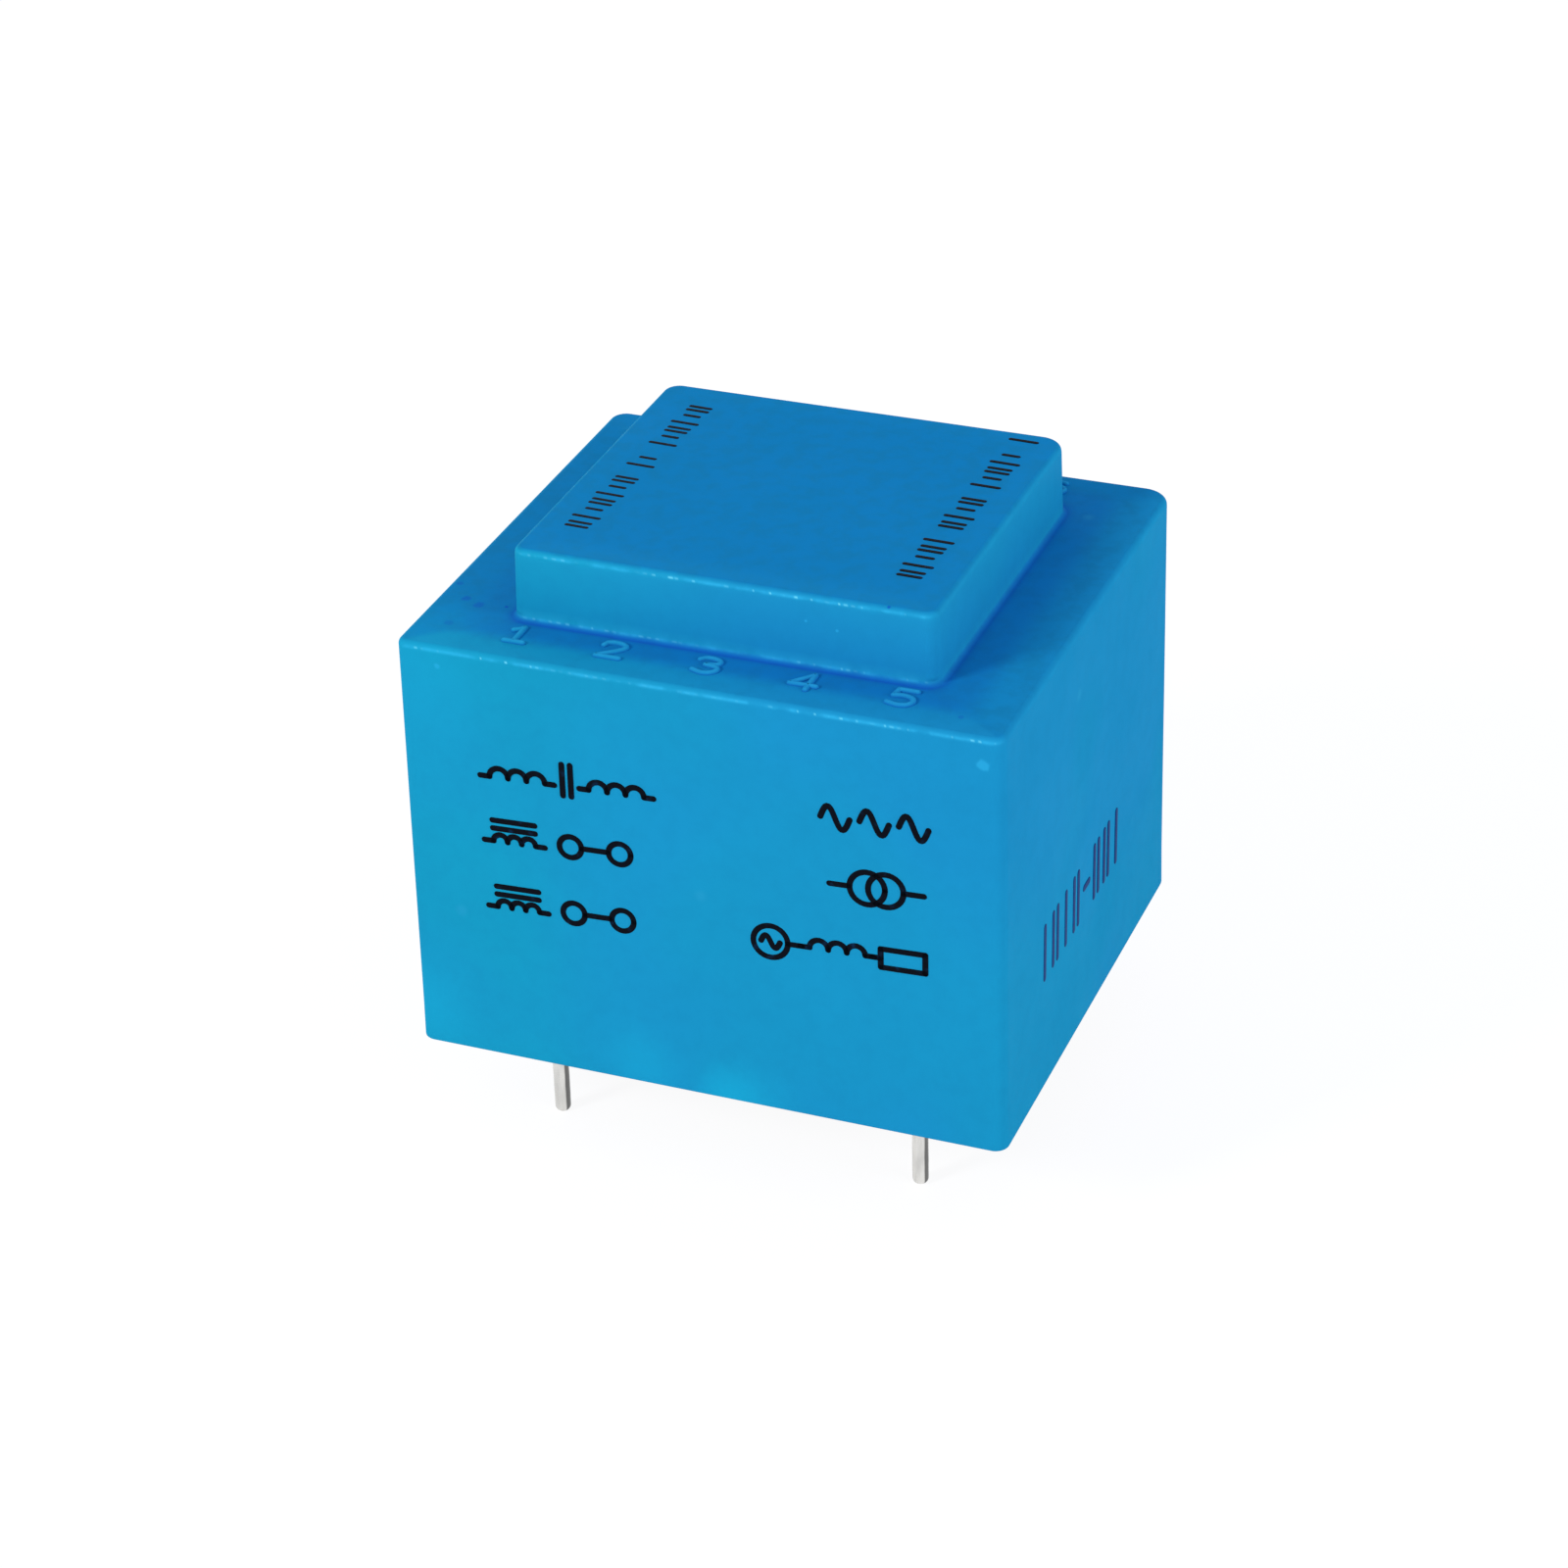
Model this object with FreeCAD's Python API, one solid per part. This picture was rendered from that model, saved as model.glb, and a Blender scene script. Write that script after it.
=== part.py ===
import FreeCAD, Part
import math
import os

# Encapsulated mains transformer for a printed circuit board.
#
# A moulded plastic cup stands open side down on the board. In it sit an interleaved E and I core
# with the laminations lying flat, a two chamber bobbin with its windings, and the resin that
# fills the rest. Four pins leave through the resin. The raised island on top of the cup makes
# room for the part of the coil that stands higher than the core.
#
# Frame: +X along the front pin row from pin 1 to pin 5, +Y from the front face to the rear face,
# +Z up. The origin is the centre of the pin pattern on the seating plane, which is the cup's rim.
# All sizes are in millimetres.

Vec = FreeCAD.Vector

# Laminations, of the size that is 28 mm wide with an 8 mm centre leg
core_width = 28.0
centre_leg = 8.0
window_width = 6.0
window_length = 17.0
yoke_depth = 4.0
lamination_pitch = 0.5
varnish_gap = 0.02
layer_count = 30

# Bobbin
bore_clearance = 0.15
tube_wall = 0.75
flange_thickness = 0.9
partition_thickness = 0.8
flange_margin = 0.35
flange_corner = 0.8
tube_corner = 0.6
window_clearance = 0.3
flange_yoke_gap = 0.15
rail_core_gap = 0.2
rail_end_margin = 2.2
rail_edge_margin = 1.9
wire_groove_width = 1.1
wire_groove_depth = 1.6
wire_groove_inset = 0.7

# Windings
winding_build = 3.15
tape_thickness = 0.15
primary_lead_radius = 0.15
secondary_lead_radius = 0.2
lead_rest = 0.02

# Pins. Of ten positions, numbered 1 to 5 along the front row and 6 to 10 back along the rear row,
# four are fitted. Each has its steps of the pitch from the row's middle, and its row.
front_row = -1
rear_row = 1
fitted_pins = {1: (-2, front_row), 5: (2, front_row), 7: (1, rear_row), 9: (-1, rear_row)}
pin_pitch = 5.0
pin_row_spacing = 20.0
pin_radius = 0.425
shank_radius = 0.6
pin_length = 5.8
pin_tip_length = 0.3
pin_tip_radius = 0.22
pin_cover = 0.8
solder_radius = 1.0
solder_height = 0.8
solder_rail_gap = 0.05

# Height of the coil over the seating plane, and the resin's level in the cup
rail_standoff = 1.6
resin_recess = 0.5

# Cup
wall = 1.15
core_gap_x = 0.6
core_gap_y = 0.3
core_gap_top = 1.0
coil_gap_x = 0.2
coil_gap_front = 0.45
coil_gap_rear = 1.0
coil_gap_top = 0.3
cup_draft = 0.15
island_draft = 0.1
edge_radius = 0.35
foot_radius = 0.25
rim_chamfer = 0.3
cup_front_corner = 0.7
cup_rear_left_corner = 0.9
cup_rear_right_corner = 1.5
island_front_corner = 0.7
island_rear_left_corner = 0.9
island_rear_right_corner = 1.3
smallest_inner_corner = 0.4

# Sizes that follow from the ones above
core_length = window_length + 2 * yoke_depth
stack_height = layer_count * lamination_pitch
lamination_thickness = lamination_pitch - varnish_gap
bore_half_x = centre_leg / 2 + bore_clearance
bore_half_z = stack_height / 2 + bore_clearance
tube_half_x = bore_half_x + tube_wall
tube_half_z = bore_half_z + tube_wall
coil_half_x = tube_half_x + winding_build
coil_half_z = tube_half_z + winding_build
flange_half_x = centre_leg / 2 + window_width - window_clearance
flange_half_z = coil_half_z + tape_thickness + flange_margin
bobbin_half_y = window_length / 2 - flange_yoke_gap
wire_groove_x = coil_half_x - wire_groove_inset
coil_centre_z = rail_standoff + flange_half_z
core_bottom_z = coil_centre_z - stack_height / 2
core_top_z = coil_centre_z + stack_height / 2
flange_top_z = coil_centre_z + flange_half_z
rail_top_z = core_bottom_z - rail_core_gap
rail_half_x = 2 * pin_pitch + rail_end_margin
rail_outer_y = pin_row_spacing / 2 + rail_edge_margin
pin_top_z = rail_top_z - pin_cover

# The cavity takes whichever is larger, the core or the pin rails. Sizes at the ledge's height.
cavity_half_x = max(core_width / 2, rail_half_x) + core_gap_x
cavity_half_y = max(core_length / 2, rail_outer_y) + core_gap_y
ledge_z = core_top_z + core_gap_top + wall
top_z = flange_top_z + coil_gap_top + wall
island_half_x = flange_half_x + coil_gap_x + wall
island_front_y = -bobbin_half_y - coil_gap_front - wall
island_rear_y = bobbin_half_y + coil_gap_rear + wall


def rectangle(half_x, front_y, rear_y, z):
    """Corners of a level rectangle: front left, front right, rear right, rear left."""
    return [Vec(-half_x, front_y, z), Vec(half_x, front_y, z),
            Vec(half_x, rear_y, z), Vec(-half_x, rear_y, z)]


def flat_face(corners):
    """Flat face through corners in order."""
    return Part.Face(Part.makePolygon(corners + corners[:1]))


def tapered_block(half_x, front_y, rear_y, low_z, high_z, taper, radii):
    """Block with flat leaning walls and rounded corners.

    Width, front and rear are those of its top, and its foot is larger by the taper all round.
    The radii run front left, front right, rear right, rear left.
    """
    foot = rectangle(half_x + taper, front_y - taper, rear_y + taper, low_z)
    top = rectangle(half_x, front_y, rear_y, high_z)
    walls = []
    for index in range(4):
        after = (index + 1) % 4
        walls.append(flat_face([foot[index], foot[after], top[after], top[index]]))
    block = Part.Solid(Part.Shell(walls + [flat_face(foot), flat_face(top)]))
    for index, radius in enumerate(radii):
        middle = Part.Vertex((foot[index] + top[index]) * 0.5)
        corner = min(block.Edges, key=lambda edge: edge.distToShape(middle)[0])
        block = block.makeFillet(radius, [corner])
    return block


def round_edges_at(shape, z, radius):
    """Round every edge of the shape that lies at one height."""
    edges = [e for e in shape.Edges if all(abs(v.Z - z) < 1e-6 for v in e.Vertexes)]
    return shape.makeFillet(radius, edges)


def block_along_y(half_x, half_z, front_y, rear_y, corner):
    """Block round the coil's axis, with its four edges along Y rounded."""
    low = Vec(-half_x, front_y, coil_centre_z - half_z)
    block = Part.makeBox(2 * half_x, rear_y - front_y, 2 * half_z, low)
    long_edges = [e for e in block.Edges if abs(e.Vertexes[0].Y - e.Vertexes[1].Y) > 1e-6]
    return block.makeFillet(corner, long_edges)


def shifted(radii, amount):
    """Corner radii of an outline that lies a distance inside another one."""
    return [max(radius - amount, smallest_inner_corner) for radius in radii]


def cup_corners():
    return [cup_front_corner, cup_front_corner, cup_rear_right_corner, cup_rear_left_corner]


def island_corners():
    return [island_front_corner, island_front_corner, island_rear_right_corner, island_rear_left_corner]


def make_cavity():
    """Space inside the cup: the core's room, and the coil's room above it."""
    radii = shifted(cup_corners(), wall)
    roof_z = ledge_z - wall
    core_room = tapered_block(cavity_half_x, -cavity_half_y, cavity_half_y, 0.0, roof_z,
                              cup_draft, radii)
    coil_radii = shifted(island_corners(), wall)
    coil_room = tapered_block(island_half_x - wall, island_front_y + wall, island_rear_y - wall,
                              coil_centre_z, top_z - wall, 0.0, coil_radii)
    return core_room.fuse(coil_room).removeSplitter()


def make_case(cavity):
    """Moulded cup: drafted box, raised island on its ledge, rounded edges, hollow inside."""
    foot_x = cavity_half_x + wall
    foot_y = cavity_half_y + wall
    base = tapered_block(foot_x, -foot_y, foot_y, 0.0, ledge_z, cup_draft, cup_corners())
    base = round_edges_at(base, ledge_z, edge_radius)
    island = tapered_block(island_half_x, island_front_y, island_rear_y, ledge_z - wall / 2, top_z,
                           island_draft, island_corners())
    island = round_edges_at(island, top_z, edge_radius)
    outside = base.fuse(island).removeSplitter()
    outside = outside.makeFillet(foot_radius, [e for e in outside.Edges if is_island_foot(e)])
    cup = outside.cut(cavity)
    return cup.makeChamfer(rim_chamfer, [e for e in cup.Edges if is_mouth(e)])


def is_mouth(edge):
    """Whether an edge lies on the inner outline of the cup's rim."""
    reach = cavity_half_x + cup_draft + wall / 2
    depth = cavity_half_y + cup_draft + wall / 2
    return all(abs(v.Z) < 1e-6 and abs(v.X) < reach and abs(v.Y) < depth for v in edge.Vertexes)


def is_island_foot(edge):
    """Whether an edge lies where the island meets the ledge."""
    at_ledge = all(abs(v.Z - ledge_z) < 1e-6 for v in edge.Vertexes)
    middle = edge.valueAt((edge.FirstParameter + edge.LastParameter) / 2)
    reach_x = island_half_x + 2 * island_draft
    inside_x = abs(middle.x) < reach_x
    inside_y = island_front_y - 2 * island_draft < middle.y < island_rear_y + 2 * island_draft
    return at_ledge and abs(middle.z - ledge_z) < 1e-6 and inside_x and inside_y


def plate(points, z):
    """Lamination cut to an outline, lying flat with its underside at one height."""
    outline = flat_face([Vec(x, y, z) for x, y in points])
    return outline.extrude(Vec(0, 0, lamination_thickness))


def e_outline(side):
    """E lamination with its yoke on the front side (-1) or the rear side (1)."""
    outer_x = core_width / 2
    inner_x = centre_leg / 2 + window_width
    leg_x = centre_leg / 2
    back_y = side * core_length / 2
    yoke_y = side * window_length / 2
    tip_y = -yoke_y
    return [(-outer_x, back_y), (outer_x, back_y), (outer_x, tip_y), (inner_x, tip_y),
            (inner_x, yoke_y), (leg_x, yoke_y), (leg_x, tip_y), (-leg_x, tip_y),
            (-leg_x, yoke_y), (-inner_x, yoke_y), (-inner_x, tip_y), (-outer_x, tip_y)]


def i_outline(side):
    """I lamination that closes the window on the front side (-1) or the rear side (1)."""
    outer_x = core_width / 2
    back_y = side * core_length / 2
    yoke_y = side * window_length / 2
    return [(-outer_x, back_y), (outer_x, back_y), (outer_x, yoke_y), (-outer_x, yoke_y)]


def make_laminations():
    """Interleaved stack: every layer is an E and an I, and the next layer is turned about."""
    stacks = {"e_laminations_front": [], "i_laminations_rear": [],
              "e_laminations_rear": [], "i_laminations_front": []}
    for layer in range(layer_count):
        z = core_bottom_z + layer * lamination_pitch + varnish_gap / 2
        if layer % 2 == 0:
            stacks["e_laminations_front"].append(plate(e_outline(-1), z))
            stacks["i_laminations_rear"].append(plate(i_outline(1), z))
        else:
            stacks["e_laminations_rear"].append(plate(e_outline(1), z))
            stacks["i_laminations_front"].append(plate(i_outline(-1), z))
    return {name: Part.makeCompound(plates) for name, plates in stacks.items()}


def core_envelope():
    """Outside of the whole core, with its two windows open."""
    low = Vec(-core_width / 2, -core_length / 2, core_bottom_z)
    block = Part.makeBox(core_width, core_length, stack_height, low)
    for side in (-1, 1):
        x = centre_leg / 2 if side > 0 else -centre_leg / 2 - window_width
        window_low = Vec(x, -window_length / 2, core_bottom_z)
        block = block.cut(Part.makeBox(window_width, window_length, stack_height, window_low))
    return block


def pin_place(number):
    """Centre of a pin on the seating plane."""
    steps, row = fitted_pins[number]
    return Vec(steps * pin_pitch, row * pin_row_spacing / 2, 0)


def make_bobbin():
    """Bobbin: tube, two end flanges, a partition, and a pin rail below each end of the core."""
    tube = block_along_y(tube_half_x, tube_half_z, -bobbin_half_y, bobbin_half_y, tube_corner)
    inner_flange = bobbin_half_y - flange_thickness
    bands = ((-bobbin_half_y, -inner_flange), (inner_flange, bobbin_half_y),
             (-partition_thickness / 2, partition_thickness / 2))
    body = tube
    for front_y, rear_y in bands:
        body = body.fuse(block_along_y(flange_half_x, flange_half_z, front_y, rear_y, flange_corner))
    rail_depth = rail_outer_y - bobbin_half_y
    rail_height = rail_top_z - rail_standoff
    for side in (-1, 1):
        y = bobbin_half_y if side > 0 else -rail_outer_y
        low = Vec(-rail_half_x, y, rail_standoff)
        rail = Part.makeBox(2 * rail_half_x, rail_depth, rail_height, low)
        body = body.fuse(rail)
    bore_low = Vec(-bore_half_x, -bobbin_half_y, coil_centre_z - bore_half_z)
    body = body.cut(Part.makeBox(2 * bore_half_x, 2 * bobbin_half_y, 2 * bore_half_z, bore_low))
    for number in fitted_pins:
        hole_low = pin_place(number) + Vec(0, 0, rail_standoff)
        body = body.cut(Part.makeCylinder(shank_radius, pin_top_z - rail_standoff, hole_low))
    groove_length = rail_outer_y - inner_flange
    for x in (-wire_groove_x, wire_groove_x):
        for y in (-rail_outer_y, inner_flange):
            low = Vec(x - wire_groove_width / 2, y, rail_standoff)
            body = body.cut(Part.makeBox(wire_groove_width, groove_length, wire_groove_depth, low))
    return body.removeSplitter()


def coil_ring(inner_grow, outer_grow, front_y, rear_y):
    """Rounded rectangular ring round the bobbin's tube, between two distances from it."""
    inner = block_along_y(tube_half_x + inner_grow, tube_half_z + inner_grow, front_y, rear_y,
                          tube_corner + inner_grow)
    outer = block_along_y(tube_half_x + outer_grow, tube_half_z + outer_grow, front_y, rear_y,
                          tube_corner + outer_grow)
    return outer.cut(inner)


def make_windings():
    """Primary in the front chamber and secondary in the rear one, each with its tape."""
    near = partition_thickness / 2
    far = bobbin_half_y - flange_thickness
    taped = winding_build + tape_thickness
    return {
        "primary_winding": coil_ring(0.0, winding_build, -far, -near),
        "primary_tape": coil_ring(winding_build, taped, -far, -near),
        "secondary_winding": coil_ring(0.0, winding_build, near, far),
        "secondary_tape": coil_ring(winding_build, taped, near, far),
    }


def make_pin(number):
    """Round pin: a thick shank in the rail and resin, a thinner free end, and a tapered tip."""
    place = pin_place(number)
    taper_z = -pin_length + pin_tip_length
    shank_low = Vec(place.x, place.y, resin_recess)
    shank = Part.makeCylinder(shank_radius, pin_top_z - resin_recess, shank_low)
    free_end = Part.makeCylinder(pin_radius, resin_recess - taper_z, Vec(place.x, place.y, taper_z))
    tip = Part.makeCone(pin_tip_radius, pin_radius, pin_tip_length, Vec(place.x, place.y, -pin_length))
    return shank.fuse([free_end, tip]).removeSplitter()


def make_solder(number):
    """Bead of solder round a pin, just below the rail, thickest at its middle."""
    place = pin_place(number)
    top_z = rail_standoff - solder_rail_gap
    middle_z = top_z - solder_height / 2
    outline = flat_face([
        Vec(place.x + shank_radius, place.y, top_z),
        Vec(place.x + solder_radius, place.y, middle_z),
        Vec(place.x + shank_radius, place.y, top_z - solder_height),
    ])
    return outline.revolve(place, Vec(0, 0, 1), 360)


def below_coil(x, clearance):
    """Height of a point across the taped coil that lies a clearance below its rounded underside."""
    half_x = coil_half_x + tape_thickness
    half_z = coil_half_z + tape_thickness
    corner = tube_corner + winding_build + tape_thickness
    reach = max(abs(x) - (half_x - corner), 0.0)
    return coil_centre_z - half_z + corner - math.sqrt((corner + clearance) ** 2 - reach ** 2)


def make_lead(number, radius, solder):
    """Wire from under the coil, down a groove in the flange and rail, to the pin's solder."""
    place = pin_place(number)
    side = math.copysign(1.0, place.y)
    groove = math.copysign(wire_groove_x, place.x)
    toward_pin = math.copysign(1.0, place.x - groove)
    start_z = below_coil(groove, radius + lead_rest)
    bead_z = rail_standoff - solder_rail_gap - solder_height / 2
    start = Vec(groove, side * (bobbin_half_y - 2 * flange_thickness), start_z)
    bend = Vec(groove, place.y, bead_z)
    end = Vec(place.x - toward_pin * (shank_radius + radius), place.y, bead_z)
    section = Part.Wire(Part.makeCircle(radius, start, bend - start))
    square_corner = 1
    wire = Part.Wire(Part.makePolygon([start, bend, end]).Edges)
    return wire.makePipeShell([section], True, True, square_corner).cut(solder)


def make_resin(cavity, pieces):
    """Resin that fills the cup up to just inside its rim, round everything that is in it."""
    reach = 2 * cavity_half_x
    low = Vec(-reach, -reach, resin_recess)
    filled = cavity.common(Part.makeBox(2 * reach, 2 * reach, top_z, low))
    bore_low = Vec(-bore_half_x, -bobbin_half_y, coil_centre_z - bore_half_z)
    bore = Part.makeBox(2 * bore_half_x, 2 * bobbin_half_y, 2 * bore_half_z, bore_low)
    return filled.cut([bore, core_envelope()] + pieces).removeSplitter()


def build():
    """Make every piece, keyed by its name."""
    nodes = make_laminations()
    nodes.update(make_windings())
    nodes["bobbin"] = make_bobbin()
    for number, (steps, row) in fitted_pins.items():
        coil = "primary" if row == front_row else "secondary"
        radius = primary_lead_radius if row == front_row else secondary_lead_radius
        solder = make_solder(number)
        nodes["pin_%d" % number] = make_pin(number)
        nodes["solder_%d" % number] = solder
        nodes["%s_lead_%d" % (coil, number)] = make_lead(number, radius, solder)
    cavity = make_cavity()
    inner = [shape for name, shape in nodes.items() if "laminations" not in name]
    nodes["potting_resin"] = make_resin(cavity, inner)
    nodes["case"] = make_case(cavity)
    return nodes


os.makedirs("parts", exist_ok=True)
for name, shape in build().items():
    shape.exportStep("parts/%s.step" % name)
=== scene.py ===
import math

import bpy
import numpy as np
from bpy.props import FloatProperty, FloatVectorProperty, PointerProperty
from mathutils import Matrix, Vector


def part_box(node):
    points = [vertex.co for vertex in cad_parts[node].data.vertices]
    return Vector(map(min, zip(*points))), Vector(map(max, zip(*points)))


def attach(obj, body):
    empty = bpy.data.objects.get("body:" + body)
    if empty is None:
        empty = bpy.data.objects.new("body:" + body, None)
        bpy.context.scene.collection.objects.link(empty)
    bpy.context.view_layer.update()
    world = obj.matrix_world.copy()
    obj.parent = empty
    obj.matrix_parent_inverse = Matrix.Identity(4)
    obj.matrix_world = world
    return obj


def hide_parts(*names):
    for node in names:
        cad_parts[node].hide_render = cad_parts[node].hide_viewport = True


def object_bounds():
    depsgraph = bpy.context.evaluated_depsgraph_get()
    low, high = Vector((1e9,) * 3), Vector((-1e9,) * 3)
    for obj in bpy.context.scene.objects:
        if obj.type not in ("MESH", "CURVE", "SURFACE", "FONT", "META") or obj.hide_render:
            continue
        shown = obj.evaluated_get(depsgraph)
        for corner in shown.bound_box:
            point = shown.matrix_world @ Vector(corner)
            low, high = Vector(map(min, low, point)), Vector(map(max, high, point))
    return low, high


bl_info = {
    "name": "Encapsulated Transformer",
    "version": (1, 0, 0),
    "blender": (4, 5, 0),
    "location": "View3D > Sidebar > Transformer",
    "description": "Dresses the solids of a potted mains transformer for a printed circuit board",
    "category": "Mesh",
}

# Everything stands in the solids' own frame: +X along the front pin row, +Y to the rear, +Z up,
# with the seating plane at zero. Blender works in metres, and MM turns millimetres into them.
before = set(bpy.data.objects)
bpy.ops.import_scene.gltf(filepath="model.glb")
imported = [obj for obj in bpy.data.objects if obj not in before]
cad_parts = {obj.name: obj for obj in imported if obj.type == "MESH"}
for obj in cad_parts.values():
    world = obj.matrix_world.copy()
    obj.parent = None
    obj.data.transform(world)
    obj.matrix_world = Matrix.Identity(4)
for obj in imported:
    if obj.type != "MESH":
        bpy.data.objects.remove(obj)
CAD_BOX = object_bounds()
MM = 0.001
CUP_HIGH = np.array(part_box("case")[1])
RESIN_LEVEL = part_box("potting_resin")[0][2]
PIN_NODES = ("pin_1", "pin_5", "pin_7", "pin_9")
PIN_PITCH = 5.0 * MM
SHEET_PITCH = 0.5 * MM
QUARTER = math.pi / 2


def length(name, description, millimetres):
    """A length that a user may change, given here in millimetres."""
    return FloatProperty(name=name, description=description, default=millimetres * MM,
                         precision=5, unit="LENGTH", subtype="DISTANCE")


def colour(name, description, rgb):
    """A colour that a user may change, as linear red, green and blue."""
    return FloatVectorProperty(name=name, description=description, default=rgb,
                               size=3, min=0.0, max=1.0, subtype="COLOR")


def angle(name, description, degrees):
    """An angle that a user may change, given here in degrees."""
    return FloatProperty(name=name, description=description, default=math.radians(degrees),
                         precision=4, unit="ROTATION", subtype="ANGLE")


class CupSizes(bpy.types.PropertyGroup):
    """Sizes of the moulded cup. Its width, depth and height come from the solids."""
    ledge_height: length("Ledge height", "Height of the ledge over the seating plane", 23.3)
    wall: length("Wall", "Thickness of the cup's walls", 1.15)
    cup_draft: length("Cup draft", "How much wider the cup is at its rim than at its ledge", 0.15)
    island_draft: length("Island draft", "How much wider the island is at its foot", 0.1)
    island_half_width: length("Island half width", "Half width of the island's top", 11.05)
    island_front: length("Island front", "Distance of the island's front from the middle", 9.95)
    island_rear: length("Island rear", "Distance of the island's rear from the middle", 10.5)
    edge_radius: length("Edge radius", "Rounding along the ledge and the island's top", 0.35)
    foot_radius: length("Foot radius", "Hollow rounding where the island meets the ledge", 0.25)
    front_corner: length("Front corner", "Radius of the cup's two front corners", 0.7)
    rear_left_corner: length("Rear left corner", "Radius of the cup's rear left corner", 0.9)
    rear_right_corner: length("Rear right corner", "Radius of the cup's rear right corner", 1.5)
    island_front_corner: length("Island front corner", "Radius of the island's front corners", 0.7)
    island_rear_left: length("Island rear left corner", "Radius of that corner", 0.9)
    island_rear_right: length("Island rear right corner", "Radius of that corner", 1.3)
    rim_chamfer: length("Rim chamfer", "Slope on the inner edge of the rim", 0.3)
    rim_round: length("Rim rounding", "Small rounding on the outer edge of the rim", 0.08)
    sink: length("Sink", "Deepest shallow hollow that cooling leaves in the walls", 0.03)


class ReliefSizes(bpy.types.PropertyGroup):
    """Sizes of the raised pin numbers and of the printed marks."""
    digit_height: length("Digit height", "Height of a raised number on the front ledge", 1.45)
    digit_width: length("Digit width", "Width of a raised number", 1.38)
    digit_stroke: length("Digit stroke", "Width of a raised number's stroke", 0.32)
    digit_rise: length("Digit rise", "How far a number stands over the ledge", 0.15)
    front_row: length("Front row", "Distance of the front numbers' middle from the centre", 11.52)
    rear_row: length("Rear row", "Distance of the rear numbers' middle from the centre", 12.25)
    rear_scale: FloatProperty(name="Rear scale", description="Size of the rear numbers against "
                              "the front ones, for the narrower ledge", default=0.85)
    digit_shift: length("Digit shift", "How far a number stands to the left of its pin", 0.1)
    print_stroke: length("Print stroke", "Width of a printed line", 0.31)
    print_rise: length("Print rise", "Thickness of the ink", 0.012)
    mark_height: length("Mark height", "Height of a printed sign", 1.75)


class PinSizes(bpy.types.PropertyGroup):
    """Sizes of the pins' finish. Their places and lengths come from the solids."""
    radius: length("Radius", "Radius of a pin's free end", 0.425)
    root_height: length("Root height", "Height at which a pin leaves the resin", 0.5)
    tip_length: length("Tip length", "Length of a pin's rounded tip", 0.3)
    tip_flat: length("Tip flat", "Radius of the flat that the cutting leaves on a tip", 0.2)
    tin_ripple: length("Tin ripple", "Depth of the ripples in the tin", 0.012)


class Finishes(bpy.types.PropertyGroup):
    """Colours of the finishes."""
    plastic: colour("Plastic", "Blue moulded plastic", (0.0125, 0.320, 0.552))
    plastic_cloud: colour("Plastic clouding", "Slow, slightly greener clouds in the plastic",
                          (0.0095, 0.370, 0.520))
    # Painted shade: a darker blue laid on the ledge and the island's top, where less light falls
    plastic_upper: colour("Plastic upper faces", "Deeper blue of the ledge and the island's top",
                          (0.0050, 0.238, 0.500))
    # Painted highlight laid along the edges where they catch the light; also the tone of the light
    # spots and the dust specks
    plastic_light: colour("Plastic highlight", "Where the plastic's edges are painted light",
                          (0.045, 0.58, 0.86))
    plastic_deep: colour("Plastic shade", "Deep blue in the corners", (0.008, 0.075, 0.47))
    ink: colour("Ink", "Black printing ink", (0.004, 0.005, 0.008))
    side_ink: colour("Side ink", "Dark blue ink of the stamp on the side", (0.006, 0.045, 0.17))
    resin: colour("Resin", "Black potting resin", (0.012, 0.012, 0.014))
    tin: colour("Tin", "Dull tin on the pins", (0.76, 0.75, 0.72))
    # Painted shade down the +X side of each pin
    tarnish: colour("Tarnish", "Dark grey tarnish down one side of a pin", (0.105, 0.105, 0.105))
    solder: colour("Solder", "Solder on the wire ends", (0.56, 0.56, 0.55))
    bobbin: colour("Bobbin", "Off-white moulded bobbin", (0.72, 0.66, 0.52))
    tape: colour("Tape", "Yellow winding tape", (0.78, 0.52, 0.06))
    copper: colour("Copper", "Enamelled copper wire", (0.55, 0.19, 0.07))
    steel: colour("Steel", "Varnished core steel", (0.20, 0.20, 0.215))


class StageSettings(bpy.types.PropertyGroup):
    """Camera and studio. Camera angles are those from the aim point to the camera."""
    azimuth: angle("Azimuth", "Direction that the camera looks in, from +Y towards -X", 21.926)
    elevation: angle("Elevation", "Height of the camera over the horizon", 30.235)
    roll: angle("Roll", "Turn of the camera about its own axis", -1.625)
    distance: length("Distance", "From the aim point to the camera", 215.61)
    aim: FloatVectorProperty(name="Aim", description="Point on the camera's axis", size=3,
                             default=(-0.77 * MM, -0.449 * MM, 10.479 * MM), precision=5,
                             unit="LENGTH", subtype="XYZ")
    lens: FloatProperty(name="Lens", description="Focal length in millimetres", default=95.242)
    key_power: FloatProperty(name="Key lamp", description="Power of the front left lamp",
                             default=1.7, unit="POWER")
    fill_power: FloatProperty(name="Fill lamp", description="Power of the right lamp",
                              default=1.07, unit="POWER")
    rear_power: FloatProperty(name="Rear lamp", description="Power of the rear left lamp",
                              default=0.4, unit="POWER")
    sky: FloatProperty(name="Sky", description="Strength of the soft light from all round",
                       default=0.68)
    sky_colour: colour("Sky colour", "Slightly cool light from above", (0.60, 0.68, 1.0))
    floor_glow: FloatProperty(name="Floor glow", description="Floor's own white to the eye",
                              default=0.915)
    floor_shade: FloatProperty(name="Floor shade", description="Share of light that the floor "
                               "shows to the eye, in which the shadow lies", default=0.143)


# Shapes: closed surfaces worked out as whole arrays

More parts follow.
